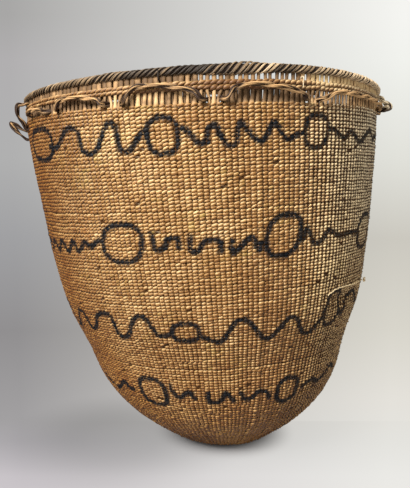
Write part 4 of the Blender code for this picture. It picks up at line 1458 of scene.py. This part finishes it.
def paper_sheet():
    """A sheet that lies in front, curves up behind and stands at the back."""
    made = bmesh.new()
    left, width, near, depth, height, corner = -3.0, 6.0, -2.6, 1.9, 2.4, 0.5
    turns = np.linspace(0, math.pi / 2, 14)
    outline = [(near, 0.0)]
    outline += [(depth - corner + math.sin(t) * corner, corner - math.cos(t) * corner) for t in turns]
    row = [made.verts.new((left, y, z)) for y, z in outline + [(depth, height)]]
    edges = [made.edges.new(pair) for pair in zip(row, row[1:])]
    grown = bmesh.ops.extrude_edge_only(made, edges=edges)
    moved = [item for item in grown["geom"] if isinstance(item, bmesh.types.BMVert)]
    bmesh.ops.translate(made, verts=moved, vec=(width, 0, 0))
    bmesh.ops.recalc_face_normals(made, faces=made.faces[:])
    mesh = bpy.data.meshes.new("paper")
    made.to_mesh(mesh)
    made.free()
    mesh.shade_smooth()
    return mesh


class BASKET_OT_stage(Operator):
    """Paper floor and backdrop, camera and lights"""

    bl_idname = "basket.stage"
    bl_label = "Stage"

    def execute(self, context):
        scene = context.scene
        scene.view_settings.view_transform = "Standard"
        mesh = paper_sheet()
        mesh.materials.append(seamless_paper(scene.basket_colours))
        put("paper", mesh)
        lens = bpy.data.cameras.new("camera")
        lens.sensor_width = SENSOR_WIDTH
        lens.lens = FOCAL_PIXELS * SENSOR_WIDTH / PHOTO_SIDE
        lens.clip_start, lens.clip_end = 0.01, 20.0
        scene.camera = put("camera", lens, CAMERA_PLACE, (math.radians(90 - CAMERA_TILT), 0, 0))
        target = Vector((-0.01, 0, 0.2))
        for name, place, size, power in LAMPS:
            lamp = bpy.data.lights.new(name, "AREA")
            lamp.size, lamp.energy = size, power
            put(name, lamp, place, (target - Vector(place)).to_track_quat("-Z", "Y").to_euler())
        scene.world = bpy.data.worlds.new("room")
        scene.world.use_nodes = True
        air = scene.world.node_tree.nodes["Background"].inputs
        air["Color"].default_value = (1.0, 0.98, 0.94, 1.0)
        air["Strength"].default_value = 0.21
        return {"FINISHED"}


class BASKET_PT_panel(Panel):
    """Sizes, colours and pieces of the basket"""

    bl_label = "Twined Basket"
    bl_space_type = "VIEW_3D"
    bl_region_type = "UI"
    bl_category = "Basket"

    def draw(self, context):
        for held in GROUPS:
            group = getattr(context.scene, held)
            box = self.layout.box()
            for name in group.__annotations__:
                box.prop(group, name)
        for operator in OPERATORS:
            self.layout.operator(operator.bl_idname)


GROUPS = {"basket_weave": WeaveSizes, "basket_collar": CollarSizes, "basket_colours": BasketColours}
OPERATORS = (
    BASKET_OT_stage,
    BASKET_OT_wall_core,
    BASKET_OT_wall_twining,
    BASKET_OT_warp_ends,
    BASKET_OT_collar_rows,
    BASKET_OT_border,
    BASKET_OT_laced_cord,
    BASKET_OT_ears,
    BASKET_OT_mend,
    BASKET_OT_loose_ends,
)


def register():
    for name, group in GROUPS.items():
        bpy.utils.register_class(group)
        setattr(bpy.types.Scene, name, PointerProperty(type=group))
    for shown in OPERATORS + (BASKET_PT_panel,):
        bpy.utils.register_class(shown)


def unregister():
    for shown in (BASKET_PT_panel,) + OPERATORS[::-1]:
        bpy.utils.unregister_class(shown)
    for name, group in GROUPS.items():
        delattr(bpy.types.Scene, name)
        bpy.utils.unregister_class(group)


def main():
    register()
    for operator in OPERATORS:
        getattr(bpy.ops.basket, operator.bl_idname.split(".")[1])()


if __name__ == "__main__":
    main()
